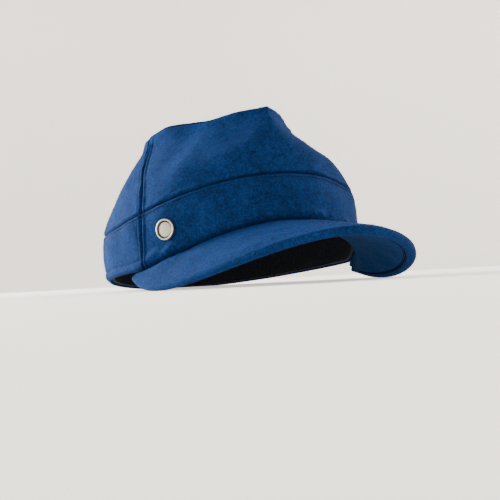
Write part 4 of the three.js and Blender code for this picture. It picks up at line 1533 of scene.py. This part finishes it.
@dataclass
class Studio:
    """The floor, the lights and the camera."""

    azimuth: float = -23.963
    distance: float = 0.62
    camera_height: float = 0.005
    roll: float = 3.05
    lens: float = 63.83
    look: tuple[float, float, float] = (0.0, 0.035696, 0.059729)
    # Where the look point lies in the 500 x 500 picture, and the picture's pixels to a metre there.
    look_pixel: tuple[float, float] = (225.9, 200.1)
    pixels_per_metre: float = 1429.9
    paper: str = "#E9E4DD"
    lights: tuple[SoftLight, ...] = (
        SoftLight("window", -1.4, -0.62, 0.32, 0.8, 122.0, "#FFFDF8"),
        SoftLight("glow", 1.3, -0.7, 0.5, 0.8, 26.0, "#FFFFFF"),
    )

    def axes(self) -> tuple[Vector, Vector]:
        """The picture's right and the way towards the camera, both level."""
        a = math.radians(self.azimuth)
        return Vector((math.cos(a), math.sin(a), 0)), Vector((math.sin(a), -math.cos(a), 0))

    def camera(self) -> bpy.types.Object:
        """The camera, just above the floor, on the photograph's side of the cap."""
        right, near = self.axes()
        look = Vector(self.look)
        drop = look.z - self.camera_height
        place = look + near * math.sqrt(self.distance**2 - drop**2)
        place.z = self.camera_height
        back = (place - look).normalized()
        up = back.cross(right)
        turn = Matrix.Rotation(math.radians(-self.roll), 3, back)
        right, up = turn @ right, turn @ up
        across = (250 - self.look_pixel[0]) / self.pixels_per_metre
        down = (250 - self.look_pixel[1]) / self.pixels_per_metre
        back = (place - (look + right * across - up * down)).normalized()
        right = up.cross(back).normalized()
        up = back.cross(right)
        data = bpy.data.cameras.new("camera")
        data.lens, data.sensor_width, data.dof.use_dof = self.lens, 36.0, False
        data.clip_start = 0.01
        camera = bpy.data.objects.new("camera", data)
        camera.matrix_world = Matrix((right, up, back)).transposed().to_4x4()
        camera.location = place
        bpy.context.scene.collection.objects.link(camera)
        bpy.context.scene.camera = camera
        return camera

    def light(self, soft: SoftLight) -> bpy.types.Object:
        """Hangs one soft box, aimed at the cap's middle."""
        right, near = self.axes()
        aim = Vector((0, 0, 0.05))
        place = right * soft.right + near * soft.near + Vector((0, 0, soft.up))
        data = bpy.data.lights.new(soft.name, "AREA")
        data.shape, data.size, data.energy = "DISK", soft.size, soft.watts
        data.color = linear(soft.colour)[:3]
        lamp = bpy.data.objects.new(soft.name, data)
        lamp.matrix_world = (aim - place).to_track_quat("-Z", "Y").to_matrix().to_4x4()
        lamp.location = place
        bpy.context.scene.collection.objects.link(lamp)
        return lamp

    def paper_bowl(self) -> bpy.types.Object:
        """A floor of pale paper that curves up all round, far behind the lights."""
        flat, bend, top, sides = 2.2, 1.0, 3.4, 96
        turn = np.radians(np.linspace(0, 90, 18))
        radius = np.r_[0.15, 0.5, 1.2, flat + bend * np.sin(turn), flat + bend]
        height = np.r_[0, 0, 0, bend * (1 - np.cos(turn)), top]
        around = np.linspace(0, 2 * math.pi, sides, endpoint=False)
        ring = np.stack([np.cos(around), np.sin(around), np.zeros_like(around)], -1)
        points = radius[:, None, None] * ring + height[:, None, None] * np.array([0, 0, 1.0])
        ids = looped(np.arange(len(radius) * sides).reshape(len(radius), sides))
        quads = quads_of(ids.T)
        centre = len(radius) * sides
        fans = [(centre, ids[0, i], ids[0, i + 1]) for i in range(sides)]
        places = np.concatenate([points.reshape(-1, 3), [[0, 0, 0]]])
        return mesh_object("paper_floor", places, [*quads.tolist(), *fans])

    def build(self) -> None:
        """Sets up the stage."""
        floor = self.paper_bowl()
        paper = blank_material("matt_backdrop_paper")
        tree = paper.node_tree
        place = add_node(tree, "ShaderNodeTexCoord").outputs["Object"]
        cloud = add_node(tree, "ShaderNodeTexNoise", {"Vector": place, "Scale": 1.4, "Detail": 2.0})
        ramp = add_node(tree, "ShaderNodeValToRGB", {"Fac": cloud.outputs[0]})
        ramp.color_ramp.elements[0].color = linear("#E4DFD8")
        ramp.color_ramp.elements[1].color = linear(self.paper)
        inputs = {
            "Base Color": ramp.outputs["Color"],
            "Roughness": 0.95,
            "Specular IOR Level": 0.1,
            "Emission Color": linear(self.paper),
            "Emission Strength": 0.94,
        }
        shader = add_node(tree, "ShaderNodeBsdfPrincipled", inputs)
        add_node(tree, "ShaderNodeOutputMaterial", {"Surface": shader.outputs[0]})
        floor.data.materials.append(paper)
        for soft in self.lights:
            self.light(soft)
        world = bpy.data.worlds.new("studio_air")
        world.use_nodes = True
        background = world.node_tree.nodes["Background"]
        background.inputs["Color"].default_value = linear("#F4F4F6")
        background.inputs["Strength"].default_value = 0.6
        bpy.context.scene.world = world
        self.camera()


@dataclass
class KepiCap:
    """The whole cap, built piece by piece."""

    form: CrownForm = CrownForm()
    placing: Placing = Placing()
    crown_felt: FeltFinish = FeltFinish("milled_wool_felt", "#06142A", "#0A234B", "#0F3366")
    # A second copy of the crown's felt in slightly shifted shades: painted shade for the brim's underside.
    underside_felt_shaded_copy: FeltFinish = FeltFinish("milled_wool_felt_shaded_copy", "#04172D", "#072548", "#0E345F")
    thread: ThreadFinish = ThreadFinish("spun_polyester_thread", "#071F45", "#0D3163")
    ribbon: ThreadFinish = ThreadFinish("black_grosgrain_ribbon", "#121317", "#23252D", 0.6, 0.8)
    nickel: MetalFinish = MetalFinish("satin_nickel", "#A9A59C", "#87837B")

    def build(self) -> None:
        """Builds every piece and reports it."""
        felt = self.crown_felt.material()
        crown, brim = Crown(self.form, self.placing), Brim(self.form, self.placing)
        button = Button(self.form, self.placing)
        stitching = Stitching(self.placing)
        patches = {
            "front_panel": [crown.front_panel()],
            "front_band": [crown.front_band(button.seat()[0])],
            "back_band": [crown.back_band()],
            "side_panel_right": crown.side_panel(Side.RIGHT),
            "side_panel_left": crown.side_panel(Side.LEFT),
        }
        for node, parts in patches.items():
            finish_piece(closed_felt(f"felt_{node}", parts, self.placing), felt, [node])
        top = brim.swept("felt_brim_top", brim.top_outline(), brim.along())
        finish_piece(top, felt, ["brim_top"])
        kept = brim.along()
        kept = kept[np.minimum(kept, 1 - kept) > brim.underside_start]
        lid = brim.thickness / 2 - brim.top_layer - brim.clearance
        under = brim.swept("felt_brim_underside", brim.underside_outline(), kept, anchor=lid)
        # The underside takes the retinted copy of the felt, as painted shade.
        finish_piece(under, self.underside_felt_shaded_copy.material(), ["brim_underside"])
        self.sew(crown, brim, stitching, patches["side_panel_left"])
        self.line(stitching)
        finish_piece(button.build(), self.nickel.material(), ["button"])
        fibres = FibreTree()
        groups = {
            "crown": [*patches["front_panel"], *patches["side_panel_right"], *patches["side_panel_left"]],
            "band": [*patches["front_band"], *patches["back_band"]],
        }
        skins = [stitching.skin_object(f"loose_fibres_{name}", parts) for name, parts in groups.items()]
        skins.append(stitching.skin_of("loose_fibres_brim", top))
        for skin in skins:
            finish_piece(fibres.run(skin, felt))

    def sew(self, crown: Crown, brim: Brim, stitching: Stitching, left_panel: Sequence[Patch]) -> None:
        """Lays the rows of stitches.

        Args:
            crown: The crown, which knows its seams.
            brim: The brim.
            stitching: Makes the paths.
            left_panel: The left side panel's patches.
        """
        away = TOPSTITCHED.channel_at
        rows = [brim.groove_row(), *crown.rows_beside_middle(left_panel, away)]
        for name in ("right", "left"):
            for side in (-1, 1):
                rows += crown.row_beside(name, side * away, 3.0)
        rows += crown.row_beside("band", -away, 1.6)
        rows += crown.row_beside("hem", HEM_EDGE.channel_at, 2.0, HEM_EDGE)
        obj = stitching.path_object("topstitching", rows)
        finish_piece(StitchTree().run(obj, self.thread.material()))

    def line(self, stitching: Stitching) -> None:
        """Makes the ribbed sweatband and binds its lower edge."""
        band = Sweatband(self.form, self.placing)
        cloth = self.ribbon.material()
        finish_piece(RibTree().run(band.ribbon(), cloth), None, ["sweatband"])
        edge = band.bound_edge()
        path = stitching.path_object("sweatband_binding", [Thread(edge, edge)], closed=True)
        finish_piece(PipingTree().run(path, cloth))


def main() -> None:
    """Builds the studio and the cap; each piece's face count is logged."""
    logging.basicConfig(level=logging.INFO, format="%(name)s %(message)s")
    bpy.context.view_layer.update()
    Studio().build()
    KepiCap().build()


if __name__ == "__main__":
    main()
